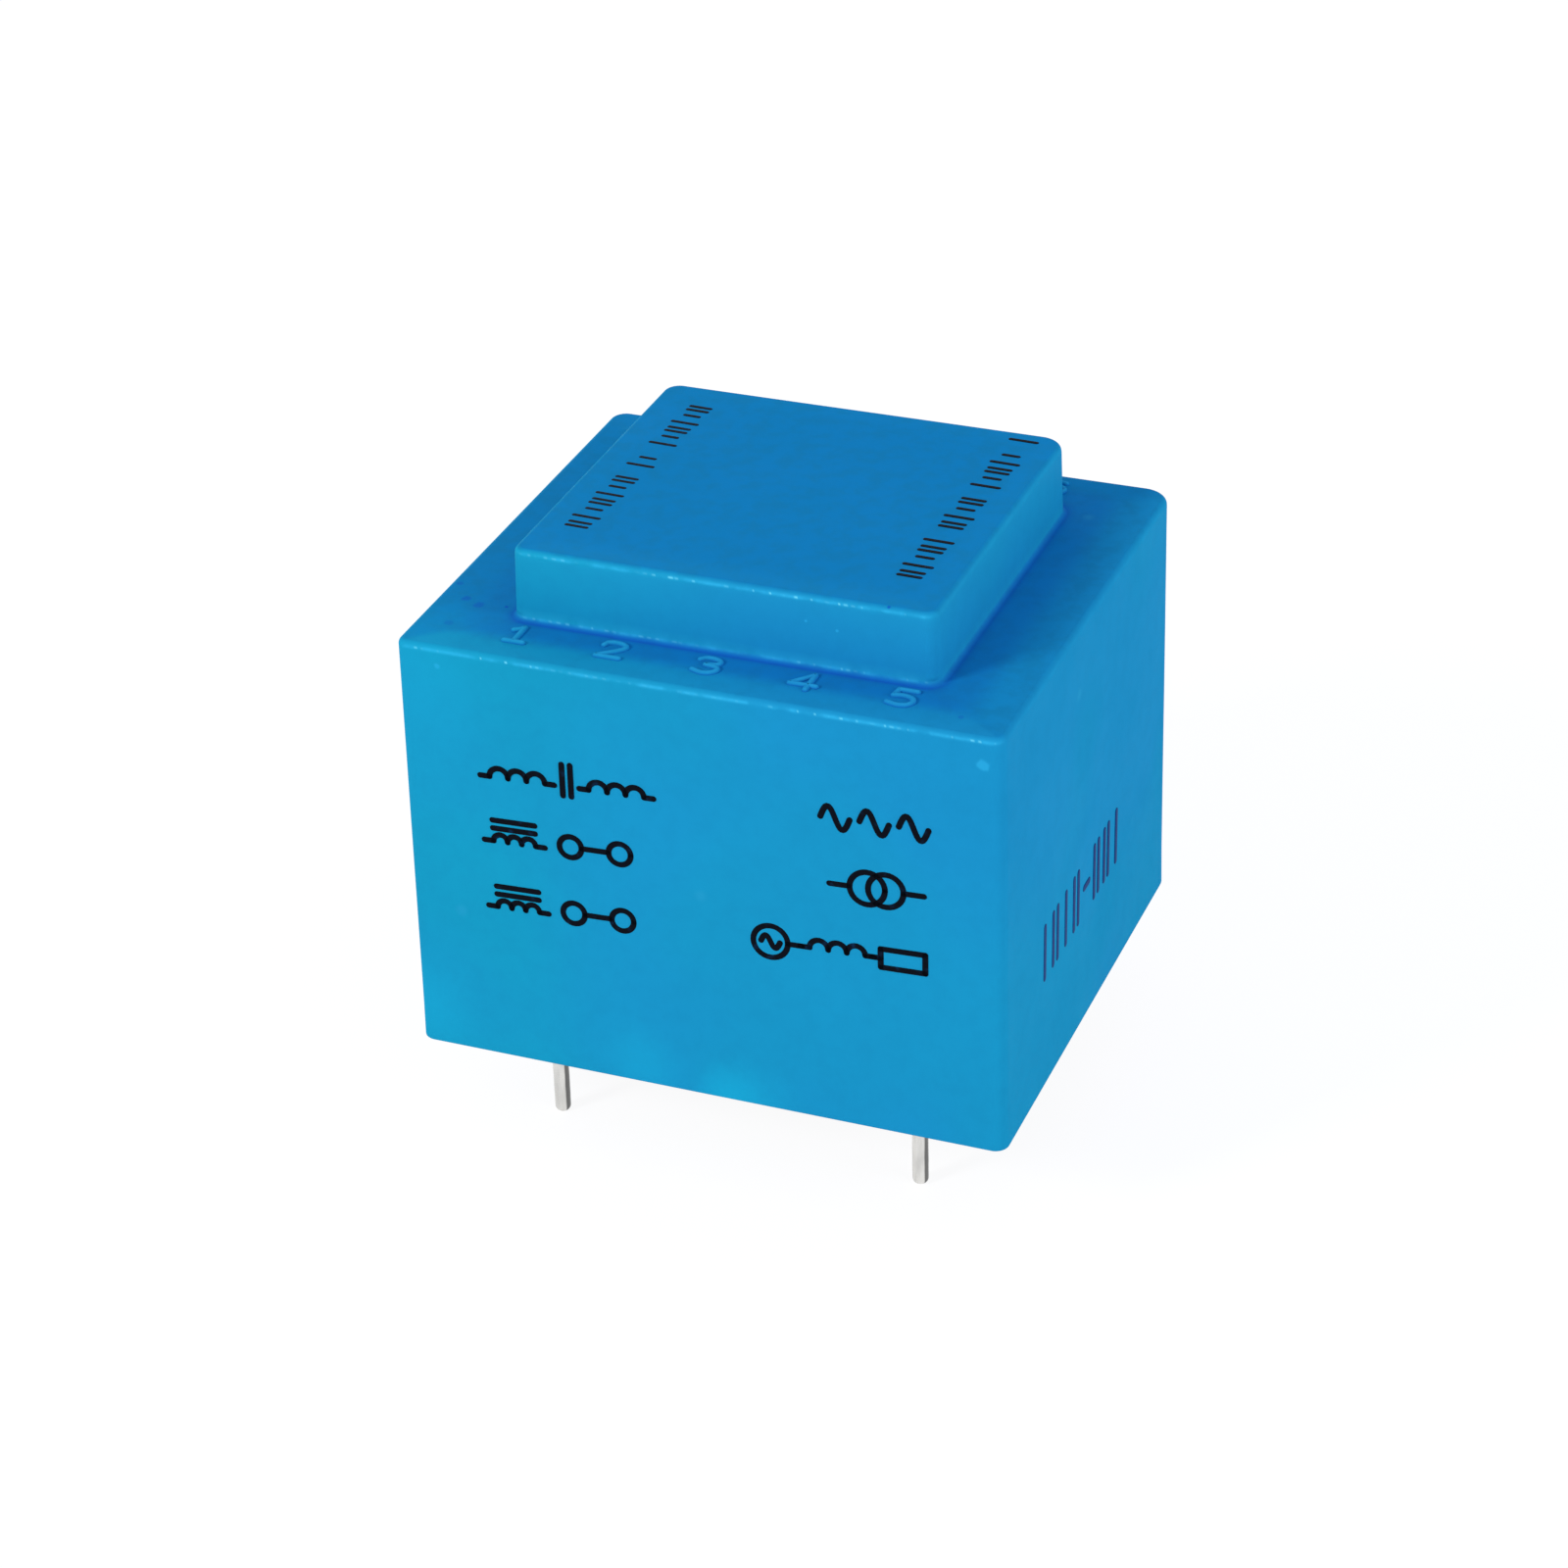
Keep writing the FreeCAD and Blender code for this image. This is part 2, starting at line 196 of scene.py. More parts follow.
def closed_surface(rings, start_pole, end_pole):
    """Points, quads and triangles of a surface through rings, shut by one point at each end.

    Ring i holds the points p(i, j) with j running once round. Each quad joins p(i, j),
    p(i, j + 1), p(i + 1, j + 1) and p(i + 1, j), and each end ring is a fan round its pole.
    The faces are turned about where the enclosed volume, the sum of p . (q x r) / 6 over
    triangles, comes out negative.
    """
    count, around = rings.shape[:2]
    points = np.concatenate([rings.reshape(-1, 3), [start_pole], [end_pole]])
    ring, step = np.meshgrid(np.arange(count - 1), np.arange(around), indexing="ij")
    here = ring * around + step
    beside = ring * around + (step + 1) % around
    quads = np.stack([here, beside, beside + around, here + around], axis=-1).reshape(-1, 4)
    step = np.arange(around)
    beside = (step + 1) % around
    last = (count - 1) * around
    first_fan = np.stack([beside, step, np.full(around, count * around)], axis=-1)
    last_fan = np.stack([last + step, last + beside, np.full(around, count * around + 1)], axis=-1)
    fans = np.concatenate([first_fan, last_fan])
    triangles = np.concatenate([quads[:, [0, 1, 2]], quads[:, [0, 2, 3]], fans])
    p, q, r = (points[triangles[:, k]] for k in range(3))
    if np.einsum("ij,ij->i", p, np.cross(q, r)).sum() < 0:
        quads, fans = quads[:, ::-1], fans[:, ::-1]
    return points, quads, fans


def full_turn(around):
    """Even angles once round, as one row."""
    return np.linspace(0, 2 * math.pi, around, endpoint=False)[None, :]


def turned(centre, radius, z, angles, start, end):
    """Closed surface about an upright axis, with its poles at the heights start and end.

    The point at height z and angle a is the centre plus radius times (cos a, sin a).
    """
    x, y = centre[0] + radius * np.cos(angles), centre[1] + radius * np.sin(angles)
    rings = np.stack([x, y, np.broadcast_to(z[:, None], x.shape)], axis=-1)
    return closed_surface(rings, (centre[0], centre[1], start), (centre[0], centre[1], end))


def pin_box(name):
    """Middle, lower corner and upper corner of a pin's box."""
    low, high = (np.array(corner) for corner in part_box(name))
    return (low + high) / 2, low, high


def joined(surfaces):
    """Several closed surfaces as one set of points, quads and triangles."""
    starts = np.cumsum([0] + [len(surface[0]) for surface in surfaces[:-1]])
    points = np.concatenate([surface[0] for surface in surfaces])
    quads, fans = (np.concatenate([surface[kind] + start
                                   for surface, start in zip(surfaces, starts)])
                   for kind in (1, 2))
    return points, quads, fans


def add_piece(name, surface, material, attributes=None):
    """A mesh object from a surface, smooth shaded, riding on the root body."""
    points, quads, fans = surface
    mesh = bpy.data.meshes.new(name)
    mesh.from_pydata(points.tolist(), [], quads.tolist() + fans.tolist())
    mesh.polygons.foreach_set("use_smooth", np.ones(len(mesh.polygons), dtype=bool))
    for label, values in (attributes or {}).items():
        layer = mesh.attributes.new(label, "FLOAT", "POINT")
        layer.data.foreach_set("value", values.astype(np.float32))
    mesh.materials.append(material)
    mesh.validate()
    mesh.update()
    piece = bpy.data.objects.new(name, mesh)
    bpy.context.scene.collection.objects.link(piece)
    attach(piece, "root")
    return piece


ARC_STEPS = 18
SIDE_STEPS = 44
# How an outline's half width, front and rear change as it grows
OUTWARD = np.array([1, -1, 1])
# Share of the painted shade of upward faces at the island's foot, on the outer part of the
# front ledge and on that of the left one, and of the painted shade at the foot that lies over
# the ledge's inner part
FOOT_TONE = 0.8
FRONT_TONE = 0.2
LEFT_TONE = 0.95
FOOT_HAZE = 0.35


def outlines(half_x, front_y, rear_y, radii):
    """Rounded rectangles, one for each row of the arrays, as x and y of (rows, around).

    A corner's points are its centre plus radius times (cos a, sin a), with a over a quarter
    turn, and a side's points lie at even steps between two corners. Corners run front left,
    front right, rear right, rear left, anticlockwise from above.
    """
    signs = ((-1, -1), (1, -1), (1, 1), (-1, 1))
    arcs = []
    for index, (sign_x, sign_y) in enumerate(signs):
        radius = radii[:, index:index + 1]
        edge_y = (front_y if sign_y < 0 else rear_y)[:, None]
        turn = np.linspace(math.pi, 3 * QUARTER, ARC_STEPS + 1)[None, :] + index * QUARTER
        x = sign_x * (half_x[:, None] - radius) + radius * np.cos(turn)
        y = edge_y - sign_y * radius + radius * np.sin(turn)
        arcs.append(np.stack([x, y], axis=-1))
    parts = []
    share = np.linspace(0, 1, SIDE_STEPS + 1)[1:-1][None, :, None]
    for index, arc in enumerate(arcs):
        following = arcs[(index + 1) % 4]
        parts.append(arc)
        parts.append(arc[:, -1:] * (1 - share) + following[:, :1] * share)
    return np.concatenate(parts, axis=1)


def outline_directions():
    """Angle in which each point of an outline looks out, front being minus a quarter turn."""
    parts = []
    for index in range(4):
        parts.append(np.linspace(math.pi, 3 * QUARTER, ARC_STEPS + 1) + index * QUARTER)
        parts.append(np.full(SIDE_STEPS - 1, 3 * QUARTER + index * QUARTER))
    return np.concatenate(parts)


class Profile:
    """Rows of a rounded box's profile, gathered from the inside of the cup to its top."""

    def __init__(self):
        self.rows = []
        self.masks = []

    def add(self, sides, grow, z, radii, line=0.0, band=0.0, foot=0.0, lid=0.0, rim=0.0):
        """Add a row for each height z, its half width, front and rear moved out by grow.

        Plain numbers are spread over the rows, and sides and radii are one row or many.
        """
        count = len(z)
        moved = sides + np.broadcast_to(grow, count)[:, None] * OUTWARD
        corners = np.broadcast_to(radii, (count, 4))
        self.rows.append(np.concatenate([moved, np.asarray(z)[:, None], corners], axis=1))
        masks = [np.broadcast_to(value, count) for value in (line, band, foot, lid, rim)]
        self.masks.append(np.stack(masks, axis=-1))

    def rings(self):
        """All rings as points of (rows, around, 3)."""
        rows = np.concatenate(self.rows)
        flat = outlines(rows[:, 0], rows[:, 1], rows[:, 2], rows[:, 4:8])
        height = np.broadcast_to(rows[:, 3][:, None, None], flat.shape[:2] + (1,))
        return np.concatenate([flat, height], axis=-1)


def cup_corners(sizes):
    """Radii of the cup's corners: front left, front right, rear right, rear left."""
    return np.array([sizes.front_corner, sizes.front_corner,
                     sizes.rear_right_corner, sizes.rear_left_corner])


def cup_profile(sizes):
    """Profile of the whole cup, from the middle of its roof inside to the middle of its top.

    Inside, the rows open out over the coil's room, step out to the core's room, and come down
    its wall to the rim. Outside, they go up the leaning wall, round the shoulder by inset
    r (1 - cos t) and rise r sin t, along the ledge, up the hollow rounding at the island's foot,
    up the island's wall, round its edge, and in to the middle of the top.
    """
    profile = Profile()
    top = CUP_HIGH[2]
    ledge, wall = sizes.ledge_height, sizes.wall
    radius, foot = sizes.edge_radius, sizes.foot_radius
    half_x, half_y = CUP_HIGH[:2] - sizes.cup_draft
    cup = np.array([half_x, -half_y, half_y])
    island = np.array([sizes.island_half_width, -sizes.island_front, sizes.island_rear])
    cup_radii = cup_corners(sizes)
    island_radii = np.array([sizes.island_front_corner, sizes.island_front_corner,
                             sizes.island_rear_right, sizes.island_rear_left])
    smallest = 0.4 * MM
    inner_cup_radii = np.maximum(cup_radii - wall, smallest)
    inner_island_radii = np.maximum(island_radii - wall, smallest)
    middle_y = (island[1] + island[2]) / 2
    crisp = 0.02 * MM

    def shrunk(share, sides, z, radii, **masks):
        """Rows of an outline drawn in towards the island's middle by shares of its size."""
        share, middle = np.asarray(share)[:, None], np.array([0, middle_y, middle_y])
        profile.add(middle + (sides - middle) * share, 0, np.full(len(share), z), radii * share,
                    **masks)

    # Inside, from the roof over the coil down to the rim
    inner, core = island - wall * OUTWARD, cup - wall * OUTWARD
    shrunk(np.linspace(0.08, 0.98, 7), inner, top - wall, inner_island_radii)
    profile.add(inner, 0, [top - wall, top - wall - crisp, ledge - wall + crisp, ledge - wall],
                inner_island_radii)
    share = np.linspace(0.03, 0.97, 4)[:, None]
    profile.add(inner * (1 - share) + core * share, 0, np.full(4, ledge - wall),
                inner_island_radii * (1 - share) + inner_cup_radii * share)
    depth = np.concatenate([[0, crisp], np.linspace(1.0 * MM, ledge - wall - 0.6 * MM, 8)])
    profile.add(core, sizes.cup_draft * depth / (ledge - wall), ledge - wall - depth,
                inner_cup_radii)
    chamfer = sizes.rim_chamfer
    slope = np.array([0.0, crisp, chamfer - crisp, chamfer, chamfer + crisp])
    profile.add(core, sizes.cup_draft + slope, chamfer - np.minimum(slope, chamfer),
                inner_cup_radii)

    # Rim, and the leaning wall up to the shoulder
    turn = np.linspace(0, QUARTER, 5)
    out = sizes.cup_draft - sizes.rim_round * (1 - np.sin(turn))
    profile.add(cup, out, sizes.rim_round * (1 - np.cos(turn)), cup_radii)
    z = np.concatenate([np.linspace(0.3 * MM, ledge - radius - 0.5 * MM, 26),
                        [ledge - radius - 0.15 * MM, ledge - radius - 0.05 * MM]])
    profile.add(cup, sizes.cup_draft * (1 - z / ledge), z, cup_radii)

    # Shoulder, with a painted highlight line along its lower part and a painted highlight band over
    # it
    turn = np.linspace(0, QUARTER, 25)
    inset, lift = radius * (1 - np.cos(turn)), radius * np.sin(turn)
    line = np.exp(-((turn - 0.36) / 0.28) ** 2)
    band = np.sin(np.clip((turn - 0.30) / 1.25, 0, 1) * math.pi) ** 0.6
    lid = np.clip((turn - 0.7) / 0.8, 0, 1)
    profile.add(cup, -inset, ledge - radius + lift,
                np.maximum(cup_radii[None] - inset[:, None], crisp), line=line, band=band, rim=lid)

    # Ledge, in to the hollow rounding at the island's foot, with painted shade deepening towards
    # the foot and a painted highlight band along its outer edge
    base = ledge - wall / 2
    foot_lean = sizes.island_draft * (top - ledge) / (top - base)
    reach = foot_lean + foot
    share = np.concatenate([[0.015, 0.05], np.linspace(0.12, 0.88, 12), [0.95, 0.985]])[:, None]
    flat = (cup - radius * OUTWARD) * (1 - share) + (island + reach * OUTWARD) * share
    outer_radii = np.maximum(cup_radii - radius, crisp)
    foot_radii = island_radii + reach
    inward = share[:, 0]
    broad = np.clip((inward - 0.3) / 0.4, 0, 1)
    broad = broad ** 2 * (3 - 2 * broad)
    shade = FOOT_HAZE * broad + (1 - FOOT_HAZE) * np.clip((inward - 0.9) / 0.1, 0, 1) ** 2
    profile.add(flat, 0, np.full(len(flat), ledge),
                outer_radii * (1 - share) + foot_radii * share, foot=shade,
                band=0.8 * np.clip(1 - inward / 0.35, 0, 1), lid=FOOT_TONE * broad, rim=1 - broad)

    # Hollow rounding, with a painted highlight line and painted shade, then the island's wall, with
    # a painted highlight band towards its top and painted shade towards its foot
    turn = np.linspace(0, QUARTER, 9)
    out = foot_lean + foot * (1 - np.sin(turn))
    profile.add(island, out, ledge + foot * (1 - np.cos(turn)),
                island_radii[None] + out[:, None], line=0.85 * np.exp(-((turn - 1.3) / 0.35) ** 2),
                foot=np.cos(turn), lid=FOOT_TONE * np.cos(turn))
    z = np.concatenate([[ledge + foot + 0.04 * MM],
                        np.linspace(ledge + foot + 0.2 * MM, top - radius - 0.2 * MM, 12),
                        [top - radius - 0.04 * MM]])
    lean = sizes.island_draft * (top - z) / (top - base)
    upward = np.clip((z - ledge - foot) / (top - radius - ledge - foot), 0, 1)
    profile.add(island, lean, z, island_radii,
                band=1.2 * upward ** 2,
                foot=(0.07 + 0.13 * (1 - upward)) * np.clip(upward / 0.15, 0, 1),
                line=0.4 * np.clip(1 - upward / 0.12, 0, 1))

    # Island's edge, rounded and with the same painted highlight line and band as the shoulder, and
    # its top, in the painted shade of upward faces with a painted highlight band near its edge
    profile.add(island, -inset, top - radius + lift,
                np.maximum(island_radii[None] - inset[:, None], crisp),
                line=line, band=band, lid=lid)
    share = np.concatenate([[0.998, 0.99, 0.965], np.linspace(0.94, 0.08, 14)])
    top_radii = np.maximum(island_radii - radius, crisp)
    shrunk(share, island - radius * OUTWARD, top, top_radii, lid=1.0,
           band=0.9 * np.clip((share - 0.84) / 0.1, 0, 1))
    return profile, middle_y


def sunk(points, quads, fans, sizes):
    """Points moved inward along their normals by shallow, slow hollows of three sine waves.

    A point's normal is the sum over its faces of (p2 - p0) x (last - p1), which is twice the
    face's area along its normal, for quads and triangles alike.
    """
    normals = np.zeros_like(points)
    for faces in (quads, fans):
        corners = points[faces]
        facing = np.cross(corners[:, 2] - corners[:, 0], corners[:, -1] - corners[:, 1])
        for corner in range(faces.shape[1]):
            np.add.at(normals, faces[:, corner], facing)
    normals /= np.maximum(np.linalg.norm(normals, axis=1, keepdims=True), 1e-30)
    x, y, z = (points / MM).T
    wave = np.sin(0.31 * x + 0.23 * y + 0.9) + np.sin(0.27 * z - 0.19 * x + 2.1)
    wave = wave + np.sin(0.22 * y + 0.33 * z + 4.0)
    height = np.clip(points[:, 2:] / (2 * MM), 0, 1)
    return points - normals * height * sizes.sink * (0.5 + wave[:, None] / 6)


# Strokes for raised numbers and printed signs, in a box one high and about 0.7 wide

DIGIT_STROKES = {
    "0": ([(0.33, 1.0), (0.08, 0.82), (0.03, 0.5), (0.08, 0.18), (0.33, 0.0), (0.58, 0.18),
           (0.63, 0.5), (0.58, 0.82), (0.33, 1.0)],),
    "1": ([(0.14, 0.76), (0.27, 0.86), (0.36, 1.0)], [(0.36, 1.0), (0.36, 0.0)],
          [(0.12, 0.0), (0.62, 0.0)]),
    "2": ([(0.05, 0.74), (0.12, 0.93), (0.34, 1.0), (0.58, 0.9), (0.62, 0.7), (0.44, 0.42),
           (0.05, 0.0)], [(0.05, 0.0), (0.66, 0.0)]),
    "3": ([(0.06, 0.84), (0.18, 0.97), (0.36, 1.0), (0.58, 0.88), (0.56, 0.64), (0.28, 0.54)],
          [(0.28, 0.54), (0.58, 0.46), (0.64, 0.24), (0.5, 0.04), (0.3, 0.0), (0.05, 0.12)]),
    "4": ([(0.5, 0.0), (0.5, 1.0)], [(0.5, 1.0), (0.02, 0.28)], [(0.02, 0.28), (0.7, 0.28)]),
    "5": ([(0.6, 1.0), (0.13, 1.0)], [(0.13, 1.0), (0.09, 0.58)],
          [(0.09, 0.58), (0.34, 0.64), (0.58, 0.53), (0.64, 0.31), (0.55, 0.08), (0.32, 0.0),
           (0.04, 0.1)]),
    "6": ([(0.56, 0.95), (0.34, 0.98), (0.12, 0.75), (0.04, 0.38), (0.14, 0.08), (0.34, 0.0),
           (0.56, 0.1), (0.64, 0.3), (0.54, 0.52), (0.34, 0.58), (0.12, 0.48), (0.04, 0.34)],),
    "7": ([(0.04, 1.0), (0.64, 1.0)], [(0.64, 1.0), (0.4, 0.5), (0.26, 0.0)]),
    "8": ([(0.34, 0.55), (0.12, 0.66), (0.12, 0.9), (0.34, 1.0), (0.56, 0.9), (0.56, 0.66),
           (0.34, 0.55), (0.08, 0.4), (0.08, 0.1), (0.34, 0.0), (0.6, 0.1), (0.6, 0.4),
           (0.34, 0.55)],),
    "9": ([(0.12, 0.05), (0.34, 0.02), (0.56, 0.25), (0.64, 0.62), (0.54, 0.92), (0.34, 1.0),
           (0.12, 0.9), (0.04, 0.7), (0.14, 0.48), (0.34, 0.42), (0.56, 0.52), (0.64, 0.66)],),
}


def smooth_path(points, steps=9):
    """Points along a Catmull-Rom curve through the given ones, even in parameter.

    Between b and c, with neighbours a and d: ((2b) + (c - a) t + (2a - 5b + 4c - d) t^2
    + (3b - a - 3c + d) t^3) / 2. A closed path takes its neighbours from its other end.
    """
    points = np.asarray(points, dtype=float)
    if len(points) == 2:
        share = np.linspace(0, 1, steps)[:, None]
        return points[0] * (1 - share) + points[1] * share
    shut = np.allclose(points[0], points[-1])
    before = points[-2] if shut else 2 * points[0] - points[1]
    after = points[1] if shut else 2 * points[-1] - points[-2]
    padded = np.concatenate([[before], points, [after]])
    a, b, c, d = padded[:-3, None], padded[1:-2, None], padded[2:-1, None], padded[3:, None]
    t = np.linspace(0, 1, steps, endpoint=False)[None, :, None]
    curve = (2 * b + (c - a) * t + (2 * a - 5 * b + 4 * c - d) * t ** 2
             + (3 * b - a - 3 * c + d) * t ** 3) / 2
    return np.concatenate([curve.reshape(-1, points.shape[1]), points[-1:]])


def swept_stroke(path, width, rise, sink, place, around=14):
    """Closed bead along a flat path, with round ends, set on a surface by place(u, v, height).

    Across the path, the point at angle a is offset by half the width times cos a and stands at
    rise times sin a above the surface, or sink times sin a below it. Over the last half width
    at each end, the section shrinks as a circle does, so that the ends are round.
    """
    step = np.gradient(path, axis=0)
    step /= np.maximum(np.linalg.norm(step, axis=1, keepdims=True), 1e-12)
    half = width / 2
    turn = np.linspace(0, QUARTER, 6)[1:-1]
    start = path[:1] - step[:1] * (half * np.cos(turn))[:, None]
    end = path[-1:] + step[-1:] * (half * np.sin(turn))[:, None]
    line = np.concatenate([start, path, end])
    along = np.concatenate([np.repeat(step[:1], 4, axis=0), step, np.repeat(step[-1:], 4, axis=0)])
    scale = np.concatenate([np.sin(turn), np.ones(len(path)), np.cos(turn)])[:, None]
    across = np.stack([-along[:, 1], along[:, 0]], axis=-1)
    a = full_turn(around)
    offset = half * scale * np.cos(a)
    flat = line[:, None, :] + across[:, None, :] * offset[..., None]
    height = np.where(np.sin(a) > 0, rise, sink) * np.sin(a) * scale
    rings = place(flat[..., 0], flat[..., 1], height)
    ends = np.array([path[0] - step[0] * half, path[-1] + step[-1] * half])
    poles = place(ends[:, 0], ends[:, 1], np.zeros(2))
    return closed_surface(rings, poles[0], poles[1])


def flat_bead(path, width, rise, sink, place):
    """As swept_stroke, with the section's top levelled, for ink of even thickness."""
    def levelled(u, v, height):
        return place(u, v, np.clip(height * 3, -sink, rise))
    return swept_stroke(path, width, rise, sink, levelled)


def digit_paths(digit, left, base, width, height):
    """A number's strokes as paths, with its box's lower left corner at (left, base)."""
    scale = np.array([width / 0.7, height])
    return [smooth_path(stroke) * scale + (left, base) for stroke in DIGIT_STROKES[digit]]


def word_paths(digits, middle, base, width, height):
    """Numbers of one or more digits, centred on a place along the line."""
    gap = 0.3 * width
    total = len(digits) * width + (len(digits) - 1) * gap
    paths = []
    for index, digit in enumerate(digits):
        paths += digit_paths(digit, middle - total / 2 + index * (width + gap), base, width, height)
    return paths


# Shader helpers and the shared effects

def node(tree, kind, inputs=None, **settings):
    """A new shader node with its settings and inputs. An input is a value or a socket."""
    made = tree.nodes.new(kind)
    for key, value in settings.items():
        setattr(made, key, value)
    for key, value in (inputs or {}).items():
        if isinstance(value, bpy.types.NodeSocket):
            tree.links.new(value, made.inputs[key])
        else:
            made.inputs[key].default_value = value
    return made


def maths(tree, operation, first, second=0.0, clamp=False):
    """One step of arithmetic on values."""
    return node(tree, "ShaderNodeMath", {0: first, 1: second}, operation=operation,
                use_clamp=clamp).outputs[0]


def times(tree, first, second, clamp=False):
    """Product of two values."""
    return maths(tree, "MULTIPLY", first, second, clamp)


def ramp(tree, value, low, high, to_low=0.0, to_high=1.0):
    """A value's way from low to high as a soft step."""
    return node(tree, "ShaderNodeMapRange", {0: value, 1: low, 2: high, 3: to_low, 4: to_high},
                interpolation_type="SMOOTHSTEP").outputs[0]


def mixed(tree, share, first, second):
    """Colour between two, by a mask."""
    return node(tree, "ShaderNodeMix", {0: share, 6: first, 7: second}, data_type="RGBA").outputs[2]


def noise(tree, vector, scale, detail=2.0, rough=0.5):
    """Noise on a place, with a scale in cycles over a metre."""
    return node(tree, "ShaderNodeTexNoise", {"Vector": vector, "Scale": scale, "Detail": detail,
                                             "Roughness": rough}).outputs[0]


def effect(name, inputs, outputs):
    """An empty node group with a vector, further inputs, and plain values as outputs.

    An input with a default is a plain value, and one without is a vector.
    """
    tree = bpy.data.node_groups.new(name, "ShaderNodeTree")
    for label, default in {"Vector": None, **inputs}.items():
        kind = "NodeSocketVector" if default is None else "NodeSocketFloat"
        socket = tree.interface.new_socket(name=label, in_out="INPUT", socket_type=kind)
        if default is not None:
            socket.default_value = default
    for label in outputs:
        tree.interface.new_socket(name=label, in_out="OUTPUT", socket_type="NodeSocketFloat")
    return tree, tree.nodes.new("NodeGroupInput").outputs, tree.nodes.new("NodeGroupOutput").inputs


def build_effects():
    """The node groups that several finishes share."""
    if "moulded_grain" in bpy.data.node_groups:
        return

    # Fine texture of a mould's surface over slow unevenness
    tree, given, put = effect("moulded_grain", {"Fine Scale": 6000.0, "Slow Scale": 160.0},
                              ("Height", "Shade"))
    fine = noise(tree, given["Vector"], given["Fine Scale"], 3.0)
    slow = noise(tree, given["Vector"], given["Slow Scale"], 2.0)
    height = maths(tree, "ADD", times(tree, fine, 0.35), times(tree, slow, 0.65))
    tree.links.new(height, put["Height"])
    tree.links.new(ramp(tree, slow, 0.3, 0.7), put["Shade"])

    # A round spot at a place, full inside the core's share of its radius, with a frayed edge
    tree, given, put = effect(
        "spot", {"Place": None, "Radius": 0.0003, "Core": 0.45, "Fray": 0.9}, ("Mask",))
    warp = node(tree, "ShaderNodeTexNoise", {"Vector": given["Vector"], "Scale": 2500.0}).outputs[0]
    distance = node(tree, "ShaderNodeVectorMath", {0: given["Vector"], 1: given["Place"]},
                    operation="DISTANCE").outputs["Value"]
    share = maths(tree, "DIVIDE", distance, given["Radius"])
    fray = times(tree, maths(tree, "SUBTRACT", warp, 0.5), given["Fray"])
    share = maths(tree, "ADD", share, fray)
    tree.links.new(ramp(tree, share, 1.0, given["Core"]), put["Mask"])

    # Painted glints strung along an edge where a line mask is high, thicker in some stretches, and
    # a patchy painted glow along the line
    tree, given, put = effect("edge_glints", {"Line": 0.0, "Scale": 2300.0}, ("Glow", "Glints"))
    apart = node(tree, "ShaderNodeSeparateXYZ", {0: given["Vector"]}).outputs
    along = maths(tree, "ADD", apart[0], times(tree, apart[1], 0.93))
    cells = node(tree, "ShaderNodeTexVoronoi", {"W": along, "Scale": given["Scale"]},
                 voronoi_dimensions="1D")
    pick = node(tree, "ShaderNodeSeparateColor", {0: cells.outputs["Color"]}).outputs
    size = ramp(tree, pick[1], 0.0, 1.0, 0.14, 0.46)
    near = ramp(tree, maths(tree, "DIVIDE", cells.outputs["Distance"], size), 1.0, 0.3)
    chosen = ramp(tree, pick[0], 0.3, 0.9)
    crowd = ramp(tree, noise(tree, given["Vector"], 110.0, 1.0), 0.36, 0.56)
    narrow = maths(tree, "POWER", given["Line"], 3.5)
    glints = times(tree, times(tree, near, chosen), crowd)
    glints = times(tree, glints, narrow, clamp=True)
    patchy = ramp(tree, noise(tree, given["Vector"], 900.0, 4.0), 0.36, 0.62, 0.15, 1.0)
    tree.links.new(times(tree, given["Line"], patchy, clamp=True), put["Glow"])
    tree.links.new(glints, put["Glints"])

    # Sparse specks of dust
    tree, given, put = effect("dust", {"Scale": 700.0, "Share": 0.1}, ("Mask",))
    cells = node(tree, "ShaderNodeTexVoronoi", {"Vector": given["Vector"], "Scale": given["Scale"]})
    pick = node(tree, "ShaderNodeSeparateColor", {0: cells.outputs["Color"]}).outputs[1]
    chosen = maths(tree, "LESS_THAN", pick, given["Share"])
    near = ramp(tree, cells.outputs["Distance"], 0.22, 0.06)
    tree.links.new(times(tree, near, chosen), put["Mask"])

    # Turns of wire or tape side by side along one axis
    tree, given, put = effect("turns", {"Pitch": 0.0003, "Unevenness": 0.15},
                              ("Height", "Shade"))
    along = node(tree, "ShaderNodeSeparateXYZ", {0: given["Vector"]}).outputs[1]
    wander = times(tree, noise(tree, given["Vector"], 300.0), given["Unevenness"])
    phase = maths(tree, "ADD", maths(tree, "DIVIDE", along, given["Pitch"]), wander)
    inside = times(tree, maths(tree, "FRACT", phase), math.pi)
    tree.links.new(maths(tree, "SINE", inside), put["Height"])
    turn = node(tree, "ShaderNodeTexWhiteNoise", {"W": maths(tree, "FLOOR", phase)},
                noise_dimensions="1D").outputs[0]
    tree.links.new(turn, put["Shade"])


def use_effect(tree, name, inputs):
    """A shared effect placed in a material, with its own values."""
    return node(tree, "ShaderNodeGroup", inputs, node_tree=bpy.data.node_groups[name]).outputs


def new_finish(name, **settings):
    """A material with a Principled shader, and its object coordinates."""
    build_effects()
    material = bpy.data.materials.new(name)
    material.use_nodes = True
    tree = material.node_tree
    tree.nodes.clear()
    shader = node(tree, "ShaderNodeBsdfPrincipled")
    for label, value in settings.items():
        shader.inputs[label.replace("_", " ")].default_value = value
    output = tree.nodes.new("ShaderNodeOutputMaterial")
    tree.links.new(shader.outputs[0], output.inputs["Surface"])
    place = tree.nodes.new("ShaderNodeTexCoord").outputs["Object"]
    return material, tree, shader, place


